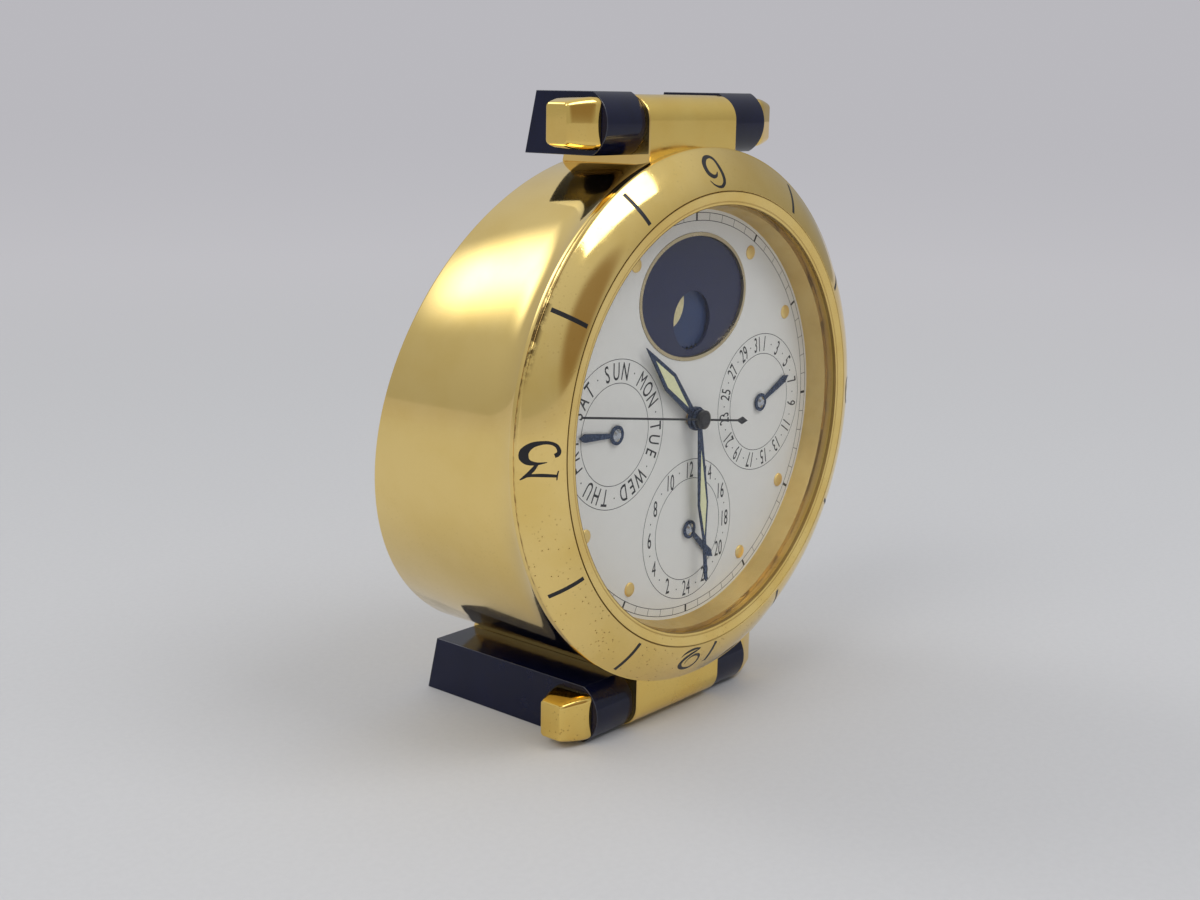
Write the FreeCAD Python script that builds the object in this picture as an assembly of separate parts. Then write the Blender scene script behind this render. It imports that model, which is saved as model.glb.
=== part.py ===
"""Round gold desk clock with moon phase, weekday, date and 24-hour dials, held between lacquered bars."""
import FreeCAD
import Part
import math
import os

# Overall layout, in millimetres. Every shape is first built about the dial's axis:
# X to the viewer's right, Y rearwards from the bezel's seat, Z up.
# At the end the whole clock is set down on its feet, with the origin under its middle.

# Dial and the nest of rings around it
dial_radius = 34.3
dial_thickness = 0.6
dial_depth = 1.4
dial_clearance = 0.2
neck_wall = 2.1
neck_height = 2.7
fit_gap = 0.04
running_fit = 0.06
end_play = 0.08

# Turning bezel
bezel_width = 5.4
bezel_edge = 0.5
bezel_height = 4.3
bezel_bulge_height = 0.55
bezel_lip = 1.55
bezel_lip_drop = 0.8

# Crystal and its rim
rim_width = 2.06
rim_height = 4.3
rim_fall = 0.35
rim_lip = 0.5
rim_skirt_wall = 0.42
rim_skirt_depth = 2.2
crystal_thickness = 1.5
wall_ring_foot_width = 1.7
wall_ring_lean_width = 0.6

# Case barrel, cut off at the rear by a leaning plane
case_step = 1.15
case_wall = 3.2
flange_inset = 0.2
flange_width = 0.9
flange_flare = 1.1
front_wall = 4.4
dial_ledge = 0.9
rear_mid_depth = 29.2
rear_lean_share = 0.242
cover_thickness = 1.6
cover_rebate = 1.0
cover_clearance = 0.1
boss_radius = 2.4
boss_length = 8.0
boss_inset_width = 1.65
boss_count = 3

# Lugs, lacquered bars and feet
bar_sink = 0.05
bar_height = 9.2
bar_end = 19.5
bar_front = 3.1
bar_nose = 2.9
bar_chamfer = 0.35
block_half_width = 10.8
block_front = 2.3
block_round = 3.8
block_drop = 0.4
cap_base = 7.2
cap_waist = 6.1
cap_face = 4.0
cap_waist_height = 3.2
cap_height = 5.5
cap_corner = 0.9
cap_depth = 8.0
rod_radius = 1.5
rod_grip = 2.5
tenon_length = 2.5
tenon_height = 3.0
tenon_width_share = 0.35
lug_screw_radius = 1.2
lug_screw_head_radius = 2.2
lug_screw_head_height = 1.4
lug_screw_grip_length = 2.5

# Moon opening, plate and disc
moon_opening_height_share = 0.5569
moon_opening_half_width_share = 0.3936
moon_opening_half_height_share = 0.2915
moon_ring_wall = 0.55
moon_ring_rise = 0.1
moon_plate_sink = 0.4
moon_plate_thickness = 0.5
aperture_height_share = 0.4490
aperture_radius_share = 0.1341
moon_axis_height_share = 0.6297
moon_disc_radius_share = 0.3178
moon_tooth_height = 0.6
moon_radius_share = 0.1195
moon_thickness = 0.08
moon_tooth_count = 59
moon_rest_angle = 239.0

# Subsidiary dials, their arbors and hands
side_dial_reach_share = 0.5394
lower_dial_reach_share = 0.5306
sub_hand_length_share = 0.2507
sub_hand_wide_at_share = 0.2157
sub_hand_half_width = 0.65
sub_hand_half_neck = 0.28
sub_hand_hub = 1.5
sub_hand_lift = 0.25
sub_hand_thickness = 0.2
stud_radius = 0.95
stud_height = 0.3
arbor_radius = 0.55
day_rest_angle = 275.0
date_rest_angle = 65.0
day24_rest_angle = 132.6
day_star_radius_share = 0.1603
day_star_root_share = 0.1050
day_star_count = 7
date_star_radius_share = 0.2187
date_star_root_share = 0.1924
date_star_count = 31

# Hour markers
dot_circle_share = 0.8426
dot_radius = 0.95
dot_thickness = 0.35
quarter_count = 3
hour_count = 12

# Main hands
hand_thickness = 0.25
hour_hand_lift = 0.9
minute_hand_lift = 1.6
seconds_hand_lift = 2.45
hub_extra = 0.15
hour_rest_angle = 314.45
minute_rest_angle = 173.7
seconds_rest_angle = 278.8
hour_tip_share = 0.5248
hour_shoulder_at_share = 0.2770
hour_shoulder = 1.65
hour_neck = 0.5
hour_hub = 1.9
hour_window_start_share = 0.0845
hour_window_end_share = 0.4344
hour_window_half = 1.05
minute_tip_share = 0.7988
minute_shoulder_at_share = 0.4111
minute_shoulder = 1.25
minute_neck = 0.35
minute_waist_at_share = 0.5831
minute_waist = 0.35
minute_point = 0.5
minute_hub = 1.6
minute_window_start_share = 0.1458
minute_window_end_share = 0.5714
minute_window_half = 0.85
seconds_tip_share = 0.8571
seconds_tail_share = 0.3499
seconds_weight_start_share = 0.2711
seconds_weight_at_share = 0.3061
seconds_weight_half = 0.62
seconds_half_width = 0.16
seconds_thickness = 0.15
seconds_cap = 1.5
seconds_cap_height = 0.75
lume_gap = 0.03

# Wheels behind the dial: an inner layer close to the dial and an outer one against the plate
layer_gap = 0.6
wheel_thickness = 0.6
layer_space = 0.3
seconds_bore = 0.3
cannon_wall = 0.44
hour_tube_wall = 0.34
cannon_count = 8
motion_wheel_count = 24
motion_pinion_count = 6
hour_wheel_count = 24
wheel_24h_count = 48
setting_pinion_count = 12
front_module_share = 0.0131
addendum_share = 0.72
dedendum_share = 1.0
tooth_tip_share = 0.16
tooth_root_share = 0.5
motion_stud = 0.5

# Plate and quartz movement
plate_thickness = 1.0
screw_radius = 0.7
screw_head_radius = 1.3
screw_head_height = 0.7
screw_grip_length = 2.0
slot_width = 0.45
slot_depth = 0.35
housing_half_width = 16.0
housing_low = 9.5
housing_high = 18.0
housing_depth_share = 0.311
housing_corner = 2.5
centre_socket = 1.6
board_inset = 2.5
board_thickness = 0.8
coil_radius = 1.9
coil_core = 1.1
coil_length = 14.0
coil_end = 1.6
coil_height = 3.2
quartz_radius = 1.0
quartz_length = 6.0
quartz_height = 5.0

# Battery, its well and hatch
hatch_radius = 11.2
hatch_height = 13.0
hatch_slot_width = 1.6
hatch_slot_depth = 0.8
well_wall = 1.3
well_floor = 1.0
well_depth = 6.5
battery_side_gap = 0.55
battery_thickness = 3.2
battery_lead_gap = 0.3
contact_half_length = 5.0
contact_half_width = 2.0
contact_thickness = 0.4

# Setting knob, correctors and rear screws
stem_radius = 0.9
knob_radius = 5.0
knob_thickness = 3.6
knob_flute = 0.35
knob_flute_count = 18
knob_standoff = 0.6
bush_wall = 1.6
bush_height = 2.6
corrector_radius = 1.6
corrector_pin = 0.8
corrector_head_length = 4.5
corrector_rise = 0.9
corrector_travel = 0.8
corrector_side_share = 0.598
corrector_low_share = 0.319
corrector_moon_gap = 2.814
cover_screw_radius = 0.9
cover_screw_head_radius = 1.9
cover_screw_head_height = 0.8
cover_screw_length = 5.0

# Jumpers: leaf springs whose beaks stand at the tips of the star wheels
jumper_length = 9.0
jumper_blade = 0.5
jumper_thickness = 0.4
jumper_post = 1.2
jumper_beak = 0.7
jumper_gap = 0.15

cut_overrun = 2.0

# Sizes on the dial, as shares of its radius
moon_opening_height = moon_opening_height_share * dial_radius
moon_opening_half_width = moon_opening_half_width_share * dial_radius
moon_opening_half_height = moon_opening_half_height_share * dial_radius
aperture_height = aperture_height_share * dial_radius
aperture_radius = aperture_radius_share * dial_radius
moon_axis_height = moon_axis_height_share * dial_radius
moon_disc_radius = moon_disc_radius_share * dial_radius
moon_radius = moon_radius_share * dial_radius
side_dial_reach = side_dial_reach_share * dial_radius
lower_dial_reach = lower_dial_reach_share * dial_radius
day_star_radius = day_star_radius_share * dial_radius
day_star_root = day_star_root_share * dial_radius
date_star_radius = date_star_radius_share * dial_radius
date_star_root = date_star_root_share * dial_radius
sub_hand_length = sub_hand_length_share * dial_radius
sub_hand_wide_at = sub_hand_wide_at_share * dial_radius
hour_tip = hour_tip_share * dial_radius
hour_shoulder_at = hour_shoulder_at_share * dial_radius
hour_window_start = hour_window_start_share * dial_radius
hour_window_end = hour_window_end_share * dial_radius
minute_tip = minute_tip_share * dial_radius
minute_shoulder_at = minute_shoulder_at_share * dial_radius
minute_waist_at = minute_waist_at_share * dial_radius
minute_window_start = minute_window_start_share * dial_radius
minute_window_end = minute_window_end_share * dial_radius
seconds_tip = seconds_tip_share * dial_radius
seconds_tail = seconds_tail_share * dial_radius
seconds_weight_start = seconds_weight_start_share * dial_radius
seconds_weight_at = seconds_weight_at_share * dial_radius
dot_circle = dot_circle_share * dial_radius
front_module = front_module_share * dial_radius

# Sizes that follow from the ones above
front_bore = dial_radius + dial_clearance
neck_radius = front_bore + neck_wall
bezel_bore = neck_radius + running_fit
bezel_radius = neck_radius + bezel_width
flange_radius = bezel_radius - flange_inset
case_radius = bezel_radius - case_step
case_bore = case_radius - case_wall
rim_inner = front_bore - rim_width / 2
rim_outer = rim_inner + rim_width
rim_seat = front_bore - fit_gap - rim_skirt_wall
bezel_lip_radius = bezel_bore - bezel_lip
bezel_inner = rim_outer + running_fit
rim_flange_depth = -rim_height + rim_fall + bezel_lip_drop / 2
crystal_front = -rim_height + rim_fall + rim_lip
crystal_rear = crystal_front + crystal_thickness
dial_rear = dial_depth + dial_thickness
inner_layer = dial_rear + layer_gap
inner_layer_rear = inner_layer + wheel_thickness
outer_layer = inner_layer_rear + layer_space
outer_layer_rear = outer_layer + wheel_thickness
plate_front = front_wall
plate_rear = plate_front + plate_thickness
housing_rear = plate_rear + housing_depth_share * (rear_mid_depth - plate_rear)
board_rear = housing_rear + board_thickness
bar_inner = case_radius - bar_sink
bar_outer = bar_inner + bar_height
bar_middle = bar_inner + bar_height / 2
rear_lean = math.degrees(math.atan(rear_lean_share))
rear_low_depth = rear_mid_depth + rear_lean_share * bar_outer
cannon_radius = seconds_bore + running_fit + cannon_wall
hour_tube_bore = cannon_radius + running_fit
hour_tube_radius = hour_tube_bore + hour_tube_wall
motion_reach = front_module * (motion_pinion_count + hour_wheel_count) / 2
rear_module = 2 * motion_reach / (cannon_count + motion_wheel_count)
day24_reach = front_module * (motion_pinion_count + wheel_24h_count) / 2
setting_reach = rear_module * (motion_wheel_count + setting_pinion_count) / 2
motion_z = (day24_reach ** 2 - motion_reach ** 2 - lower_dial_reach ** 2) / (2 * lower_dial_reach)
motion_x = math.sqrt(motion_reach ** 2 - motion_z ** 2)
setting_z = motion_z - math.sqrt(setting_reach ** 2 - motion_x ** 2)

centre = (0, 0)
day_centre = (-side_dial_reach, 0)
date_centre = (side_dial_reach, 0)
day24_centre = (0, -lower_dial_reach)
moon_centre = (0, moon_axis_height)
motion_centre = (motion_x, motion_z)
setting_centre = (0, setting_z)

nodes = {}


# Helpers

def direction(angle):
    """Unit direction on the dial, with the angle counted clockwise from twelve o'clock."""
    return math.sin(math.radians(angle)), math.cos(math.radians(angle))


def bearing(start, end):
    """Clockwise angle from twelve o'clock of the line from one centre to another."""
    return math.degrees(math.atan2(end[0] - start[0], end[1] - start[1]))


def place(centre_point, angle, outline):
    """Turns an outline of (along, across) pairs to a dial angle about a centre, as (x, z) pairs."""
    sx, sz = direction(angle)
    return [(centre_point[0] + a * sx + c * sz, centre_point[1] + a * sz - c * sx) for a, c in outline]


def rear_depth(height):
    """Depth of the leaning rear plane at a height above the dial's axis."""
    return rear_mid_depth - rear_lean_share * height


def turned(outline):
    """Solid of revolution about the dial's axis from a closed outline of (radius, depth) pairs."""
    wire = Part.makePolygon([FreeCAD.Vector(r, d, 0) for r, d in outline + outline[:1]])
    return Part.Face(wire).revolve(FreeCAD.Vector(0, 0, 0), FreeCAD.Vector(0, 1, 0), 360)


def rod(centre_point, radius, front, rear):
    """Round bar along the dial's axis direction between two depths."""
    base = FreeCAD.Vector(centre_point[0], front, centre_point[1])
    return Part.makeCylinder(radius, rear - front, base, FreeCAD.Vector(0, 1, 0))


def dome(centre_point, radius, top_radius, front, rear):
    """Low cone that stands for a polished dome, narrower at its front."""
    base = FreeCAD.Vector(centre_point[0], front, centre_point[1])
    return Part.makeCone(top_radius, radius, rear - front, base, FreeCAD.Vector(0, 1, 0))


def sheet(outline, front, rear):
    """Flat piece parallel to the dial from a closed outline of (x, z) pairs."""
    wire = Part.makePolygon([FreeCAD.Vector(x, front, z) for x, z in outline + outline[:1]])
    return Part.Face(wire).extrude(FreeCAD.Vector(0, rear - front, 0))


def oval(centre_height, half_width, half_height, front, rear):
    """Elliptical slab parallel to the dial, centred on the vertical through the axis."""
    curve = Part.Ellipse(
        FreeCAD.Vector(half_width, front, centre_height),
        FreeCAD.Vector(0, front, centre_height + half_height),
        FreeCAD.Vector(0, front, centre_height),
    )
    face = Part.Face(Part.Wire(curve.toShape()))
    return face.extrude(FreeCAD.Vector(0, rear - front, 0))


def rounded_square(side, corner, x, depth, height):
    """Wire of a square with rounded corners, square to X."""
    h = side / 2
    inner = h - corner
    bow = inner + corner * math.sqrt(0.5)
    edges = []
    for k in range(4):
        turn = FreeCAD.Rotation(FreeCAD.Vector(1, 0, 0), 90 * k)
        flat_a = turn.multVec(FreeCAD.Vector(0, h, -inner))
        flat_b = turn.multVec(FreeCAD.Vector(0, h, inner))
        arc_mid = turn.multVec(FreeCAD.Vector(0, bow, bow))
        arc_end = turn.multVec(FreeCAD.Vector(0, inner, h))
        shift = FreeCAD.Vector(x, depth, height)
        edges.append(Part.LineSegment(flat_a + shift, flat_b + shift).toShape())
        edges.append(Part.Arc(flat_b + shift, arc_mid + shift, arc_end + shift).toShape())
    return Part.Wire(edges)


def toothed(centre_point, count, module, front, rear, bore, phase):
    """Spur wheel with straight-flanked teeth; phase is the clockwise angle of one tooth."""
    pitch_radius = module * count / 2
    tip = pitch_radius + addendum_share * module
    root = pitch_radius - dedendum_share * module
    step = 360.0 / count
    outline = []
    for k in range(count):
        middle = phase + k * step
        for radius, offset in (
            (root, -tooth_root_share / 2),
            (tip, -tooth_tip_share / 2),
            (tip, tooth_tip_share / 2),
            (root, tooth_root_share / 2),
        ):
            sx, sz = direction(middle + offset * step)
            outline.append((centre_point[0] + radius * sx, centre_point[1] + radius * sz))
    return sheet(outline, front, rear).cut(rod(centre_point, bore, front - cut_overrun, rear + cut_overrun))


def star(centre_point, count, tip, root, front, rear, bore, phase):
    """Star wheel with pointed teeth."""
    outline = []
    for k in range(count):
        for radius, offset in ((tip, 0), (root, 1 / 2)):
            sx, sz = direction(phase + (k + offset) * 360.0 / count)
            outline.append((centre_point[0] + radius * sx, centre_point[1] + radius * sz))
    return sheet(outline, front, rear).cut(rod(centre_point, bore, front - cut_overrun, rear + cut_overrun))


def meshed(phase, count, here, next_count, there):
    """Tooth phase of a wheel that meshes with one of a known phase."""
    line = bearing(here, there)
    return line + 180.0 - (phase - line) * count / next_count + 180.0 / next_count


def on_rear(shape, x, height, out):
    """Sets a shape that stands along +Z onto the leaning rear plane, moved outwards by a distance."""
    turn = FreeCAD.Rotation(FreeCAD.Vector(1, 0, 0), rear_lean - 90)
    foot = FreeCAD.Vector(x, rear_depth(height), height) + turn.multVec(FreeCAD.Vector(0, 0, out))
    placed = shape.copy()
    placed.Placement = FreeCAD.Placement(foot, turn)
    return placed


def behind_rear(out):
    """Everything behind the leaning rear plane, as a block to cut with."""
    reach = 2 * bezel_radius
    block = Part.makeBox(2 * reach, 2 * reach, reach, FreeCAD.Vector(-reach, -reach, 0))
    return on_rear(block, 0, 0, out)


def mirrored(shape, axis):
    """Mirror image across the plane through the origin that is square to the axis."""
    return shape.mirror(FreeCAD.Vector(0, 0, 0), axis)


across = FreeCAD.Vector(1, 0, 0)


# Case barrel: neck for the bezel, seat for the dial, leaning rear end with a rebate for the cover
barrel = turned([
    (front_bore, -neck_height),
    (neck_radius, -neck_height),
    (neck_radius, end_play),
    (flange_radius, end_play),
    (flange_radius, end_play + flange_width),
    (case_radius, end_play + flange_width + flange_flare),
    (case_radius, rear_low_depth),
    (case_bore, rear_low_depth),
    (case_bore, front_wall),
    (front_bore - dial_ledge, front_wall),
    (front_bore - dial_ledge, dial_rear),
    (front_bore, dial_rear),
])
boss_places = []
boss_reach = case_bore - boss_inset_width
for k in range(boss_count):
    sx, sz = direction(180.0 + k * 360.0 / boss_count)
    boss_places.append((boss_reach * sx, boss_reach * sz))
for x, z in boss_places:
    boss = on_rear(Part.makeCylinder(boss_radius, boss_length), x, z, -boss_length)
    barrel = barrel.fuse(boss.common(rod(centre, case_radius - case_wall / 2, 0, rear_low_depth)))
rebate = rod(centre, case_bore + cover_rebate, 0, 2 * rear_low_depth)
barrel = barrel.cut(rebate.common(behind_rear(-cover_thickness)))
barrel = barrel.cut(behind_rear(0))
for x, z in boss_places:
    tapped = Part.makeCylinder(cover_screw_radius + fit_gap, cover_screw_length + cut_overrun)
    barrel = barrel.cut(on_rear(tapped, x, z, -cover_screw_length))
plate_screw_places = []
plate_screw_reach = (front_bore - dial_ledge + case_bore) / 2
for side in (-1, 1):
    plate_screw_places.append((side * plate_screw_reach, 0))
for point in plate_screw_places:
    hole = rod(point, screw_radius + fit_gap, front_wall - screw_grip_length, front_wall + cut_overrun)
    barrel = barrel.cut(hole)

# Lug blocks, one above and one below, each seated on the barrel and cut by the same leaning plane


def block_profile(side):
    """Outline of a lug block seen from the side; side is 1 above and -1 below."""
    outer = side * (bar_outer - block_drop)
    inner = side * (case_bore + case_wall / 2)
    bend = outer - side * block_round
    mid_depth = block_front + block_round * (1 - math.sqrt(0.5))
    mid_height = bend + side * block_round * math.sqrt(0.5)
    corners = [
        FreeCAD.Vector(0, block_front, inner),
        FreeCAD.Vector(0, block_front, bend),
        FreeCAD.Vector(0, block_front + block_round, outer),
        FreeCAD.Vector(0, rear_depth(outer), outer),
        FreeCAD.Vector(0, rear_depth(inner), inner),
    ]
    edges = [
        Part.LineSegment(corners[0], corners[1]).toShape(),
        Part.Arc(corners[1], FreeCAD.Vector(0, mid_depth, mid_height), corners[2]).toShape(),
        Part.LineSegment(corners[2], corners[3]).toShape(),
        Part.LineSegment(corners[3], corners[4]).toShape(),
        Part.LineSegment(corners[4], corners[0]).toShape(),
    ]
    return Part.Face(Part.Wire(edges))


def bar_profile(side):
    """D-shaped outline of a bar or foot seen from its end: round nose, flat back on the leaning plane."""
    low = side * bar_inner
    high = side * bar_outer
    middle = side * bar_middle
    flat = bar_front + bar_nose
    corners = [
        FreeCAD.Vector(0, flat, high),
        FreeCAD.Vector(0, rear_depth(high), high),
        FreeCAD.Vector(0, rear_depth(low), low),
        FreeCAD.Vector(0, flat, low),
    ]
    edges = [
        Part.Arc(corners[3], FreeCAD.Vector(0, bar_front, middle), corners[0]).toShape(),
        Part.LineSegment(corners[0], corners[1]).toShape(),
        Part.LineSegment(corners[1], corners[2]).toShape(),
        Part.LineSegment(corners[2], corners[3]).toShape(),
    ]
    return Part.Face(Part.Wire(edges))


def end_edges(shape, x):
    """Edges of a shape that lie in the plane square to X at a place."""
    found = []
    for edge in shape.Edges:
        box = edge.BoundBox
        if abs(box.XMin - x) < fit_gap and abs(box.XMax - x) < fit_gap:
            found.append(edge)
    return found


def along_x(radius, start, end, depth, height):
    """Round bar parallel to X."""
    return Part.makeCylinder(radius, end - start, FreeCAD.Vector(start, depth, height), across)


barrel_seat = rod(centre, case_radius + fit_gap, 0, 2 * rear_low_depth)
lug_screws = []
caps = []
tie_rods = []
for side, block_name, left_name, right_name in (
    (1, "lug_block_upper", "bar_upper_left", "bar_upper_right"),
    (-1, "lug_block_lower", "foot_lower_left", "foot_lower_right"),
):
    middle = side * bar_middle
    block = block_profile(side).extrude(FreeCAD.Vector(2 * block_half_width, 0, 0))
    block.translate(FreeCAD.Vector(-block_half_width, 0, 0))
    block = block.cut(barrel_seat)
    bore = along_x(rod_radius + fit_gap, -bezel_radius, bezel_radius, cap_depth, middle)
    block = block.cut(bore)

    # The end bolt passes through bar, block and bar into the two caps
    rod_reach = bar_end + rod_grip
    tie_rods.append(along_x(rod_radius, -rod_reach, rod_reach, cap_depth, middle))

    # A tenon on each end of the block keeps its bar from turning on the bolt
    rod_rear = cap_depth + rod_radius
    tenon_width = tenon_width_share * (rear_depth(middle) - rod_rear)
    tenon_depth = (rear_depth(middle) + rod_rear) / 2
    tenon_reach = block_half_width + tenon_length
    block = block.fuse(Part.makeBox(
        2 * tenon_reach, tenon_width, tenon_height,
        FreeCAD.Vector(-tenon_reach, tenon_depth - tenon_width / 2, middle - tenon_height / 2),
    ))
    mortise = Part.makeBox(
        tenon_reach + fit_gap, tenon_width + 2 * fit_gap, tenon_height + 2 * fit_gap,
        FreeCAD.Vector(0, tenon_depth - tenon_width / 2 - fit_gap, middle - tenon_height / 2 - fit_gap),
    )

    bar = bar_profile(side).extrude(FreeCAD.Vector(bar_end - block_half_width, 0, 0))
    bar.translate(FreeCAD.Vector(block_half_width, 0, 0))
    bar = bar.makeChamfer(bar_chamfer, end_edges(bar, bar_end))
    bar = bar.cut(bore).cut(mortise)
    nodes[right_name] = bar
    nodes[left_name] = mirrored(bar, across)

    # Faceted cap screwed on each end of the bolt
    cap = Part.makeLoft([
        rounded_square(cap_base, cap_corner, bar_end, cap_depth, middle),
        rounded_square(cap_waist, cap_corner, bar_end + cap_waist_height, cap_depth, middle),
        rounded_square(cap_face, cap_corner / 2, bar_end + cap_height, cap_depth, middle),
    ], True, True)
    passage = along_x(rod_radius + fit_gap, bar_end - cut_overrun, rod_reach + fit_gap, cap_depth, middle)
    cap = cap.cut(passage)
    caps.append(cap)
    caps.append(mirrored(cap, across))

    # A screw from inside the barrel pulls the block onto its seat; its head lies against the wall
    depth = (block_front + rear_depth(side * case_bore)) / 2
    up = FreeCAD.Vector(0, 0, side)
    flat = math.sqrt(case_bore ** 2 - lug_screw_head_radius ** 2)
    head_start = FreeCAD.Vector(0, depth, side * (flat - lug_screw_head_height))
    head = Part.makeCylinder(lug_screw_head_radius, lug_screw_head_height, head_start, up)
    reach = case_radius + lug_screw_grip_length - flat
    shank = Part.makeCylinder(lug_screw_radius, reach, FreeCAD.Vector(0, depth, side * flat), up)
    lug_screws.append(head.fuse(shank).removeSplitter())
    start = FreeCAD.Vector(0, depth, side * flat)
    hole = Part.makeCylinder(lug_screw_radius + fit_gap, reach + fit_gap, start, up)
    block = block.cut(hole)
    barrel = barrel.cut(hole)
    nodes[block_name] = block

nodes["case_barrel"] = barrel
nodes["bar_caps"] = Part.makeCompound(caps)
nodes["tie_rods"] = Part.makeCompound(tie_rods)
nodes["lug_screws"] = Part.makeCompound(lug_screws)

# Bezel: sloping ring, raised in the middle of its slope, that turns on the neck.
# An inner lip under the crystal's rim keeps it from coming off.
slope_width = bezel_radius - bezel_inner
slope_rise = bezel_height - bezel_edge
slope_length = math.hypot(slope_width, slope_rise)
bulge_out = bezel_bulge_height * slope_rise / slope_length
bulge_up = bezel_bulge_height * slope_width / slope_length
lip_front = rim_flange_depth + end_play
lip_rear = -neck_height - end_play
nodes["bezel"] = turned([
    (bezel_inner, -bezel_height),
    (bezel_inner, lip_front),
    (bezel_lip_radius, lip_front),
    (bezel_lip_radius, lip_rear),
    (bezel_bore, lip_rear),
    (bezel_bore, 0),
    (bezel_radius, 0),
    (bezel_radius, -bezel_edge),
    ((bezel_radius + bezel_inner) / 2 + bulge_out, -(bezel_edge + bezel_height) / 2 - bulge_up),
])

# Rim, crystal and the deep inner wall down to the dial
nodes["crystal_rim"] = turned([
    (rim_inner, -rim_height + rim_fall),
    (rim_outer, -rim_height),
    (rim_outer, rim_flange_depth),
    (front_bore - fit_gap, rim_flange_depth),
    (front_bore - fit_gap, -rim_height + rim_skirt_depth + crystal_thickness),
    (rim_seat, -rim_height + rim_skirt_depth + crystal_thickness),
    (rim_seat, crystal_front),
    (rim_inner, crystal_front),
])
crystal_radius = rim_seat - fit_gap
nodes["crystal"] = rod(centre, crystal_radius, crystal_front, crystal_rear)
wall_inner = dial_radius - wall_ring_foot_width
nodes["inner_wall_ring"] = turned([
    (crystal_radius, crystal_rear),
    (wall_inner + wall_ring_lean_width, crystal_rear),
    (wall_inner, dial_depth),
    (crystal_radius, dial_depth),
])

# Dial with its openings
dial = rod(centre, dial_radius, dial_depth, dial_rear)
dial = dial.cut(oval(moon_opening_height, moon_opening_half_width, moon_opening_half_height, 0, front_wall))
dial = dial.cut(rod(centre, hour_tube_radius + 2 * running_fit, 0, front_wall))
for point in (day_centre, date_centre, day24_centre):
    dial = dial.cut(rod(point, arbor_radius + 2 * running_fit, 0, front_wall))
nodes["dial"] = dial
moon_plate_front = dial_depth + moon_plate_sink
moon_plate_rear = moon_plate_front + moon_plate_thickness
ring_half_width = moon_opening_half_width - fit_gap
ring_half_height = moon_opening_half_height - fit_gap
plate_half_width = ring_half_width - moon_ring_wall
plate_half_height = ring_half_height - moon_ring_wall
moon_ring = oval(
    moon_opening_height, ring_half_width, ring_half_height,
    dial_depth - moon_ring_rise, moon_plate_rear,
)
nodes["moon_plate_ring"] = moon_ring.cut(
    oval(moon_opening_height, plate_half_width, plate_half_height, 0, front_wall)
)
moon_plate = oval(
    moon_opening_height, plate_half_width - fit_gap, plate_half_height - fit_gap,
    moon_plate_front, moon_plate_rear,
)
nodes["moon_plate"] = moon_plate.cut(rod((0, aperture_height), aperture_radius, 0, front_wall))
dots = []
for hour in range(hour_count):
    if hour % quarter_count:
        sx, sz = direction(hour * 360.0 / hour_count)
        place_xz = (dot_circle * sx, dot_circle * sz)
        dots.append(rod(place_xz, dot_radius, dial_depth - dot_thickness, dial_depth))
nodes["hour_dots"] = Part.makeCompound(dots)

# Moon disc: two moons half a turn apart on a toothed disc that turns on a post of the plate
moon_disc_front = inner_layer
moon_post = arbor_radius
moon_disc = star(
    moon_centre, moon_tooth_count, moon_disc_radius, moon_disc_radius - moon_tooth_height,
    moon_disc_front, inner_layer_rear, moon_post + running_fit, 0,
)
nodes["moon_disc"] = moon_disc
moon_track = moon_axis_height - aperture_height
moons = []
for half_turn in (0, 180):
    sx, sz = direction(moon_rest_angle + half_turn)
    point = (moon_track * sx, moon_axis_height + moon_track * sz)
    moons.append(rod(point, moon_radius, moon_disc_front - moon_thickness, moon_disc_front))
nodes["moons"] = Part.makeCompound(moons)

# Weekday, date and 24-hour hands on their arbors, and the wheels behind the dial
sub_hand_rear = dial_depth - sub_hand_lift
sub_hand_front = sub_hand_rear - sub_hand_thickness
sub_outline = [
    (0, -sub_hand_half_neck),
    (sub_hand_wide_at, -sub_hand_half_width),
    (sub_hand_length, 0),
    (sub_hand_wide_at, sub_hand_half_width),
    (0, sub_hand_half_neck),
]


def sub_hand(centre_point, angle):
    """Short hand with a round hub."""
    blade = sheet(place(centre_point, angle, sub_outline), sub_hand_front, sub_hand_rear)
    hub = rod(centre_point, sub_hand_hub, sub_hand_front, sub_hand_rear)
    hole = rod(centre_point, arbor_radius, -front_wall, front_wall)
    return blade.fuse(hub).cut(hole).removeSplitter()


def sub_arbor(centre_point):
    """Arbor with a polished stud in front of its hand."""
    stud = dome(centre_point, stud_radius, stud_radius / 2, sub_hand_front - stud_height, sub_hand_front)
    shaft = rod(centre_point, arbor_radius, sub_hand_front, plate_rear)
    return stud.fuse(shaft).removeSplitter()


nodes["day_hand"] = sub_hand(day_centre, day_rest_angle)
nodes["date_hand"] = sub_hand(date_centre, date_rest_angle)
nodes["hand_24h"] = sub_hand(day24_centre, day24_rest_angle)
nodes["day_arbor"] = sub_arbor(day_centre)
nodes["date_arbor"] = sub_arbor(date_centre)
nodes["arbor_24h"] = sub_arbor(day24_centre)
nodes["day_star"] = star(
    day_centre, day_star_count, day_star_radius, day_star_root,
    inner_layer, inner_layer_rear, arbor_radius, 90,
)
nodes["date_star"] = star(
    date_centre, date_star_count, date_star_radius, date_star_root,
    inner_layer, inner_layer_rear, arbor_radius, 0,
)

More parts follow.
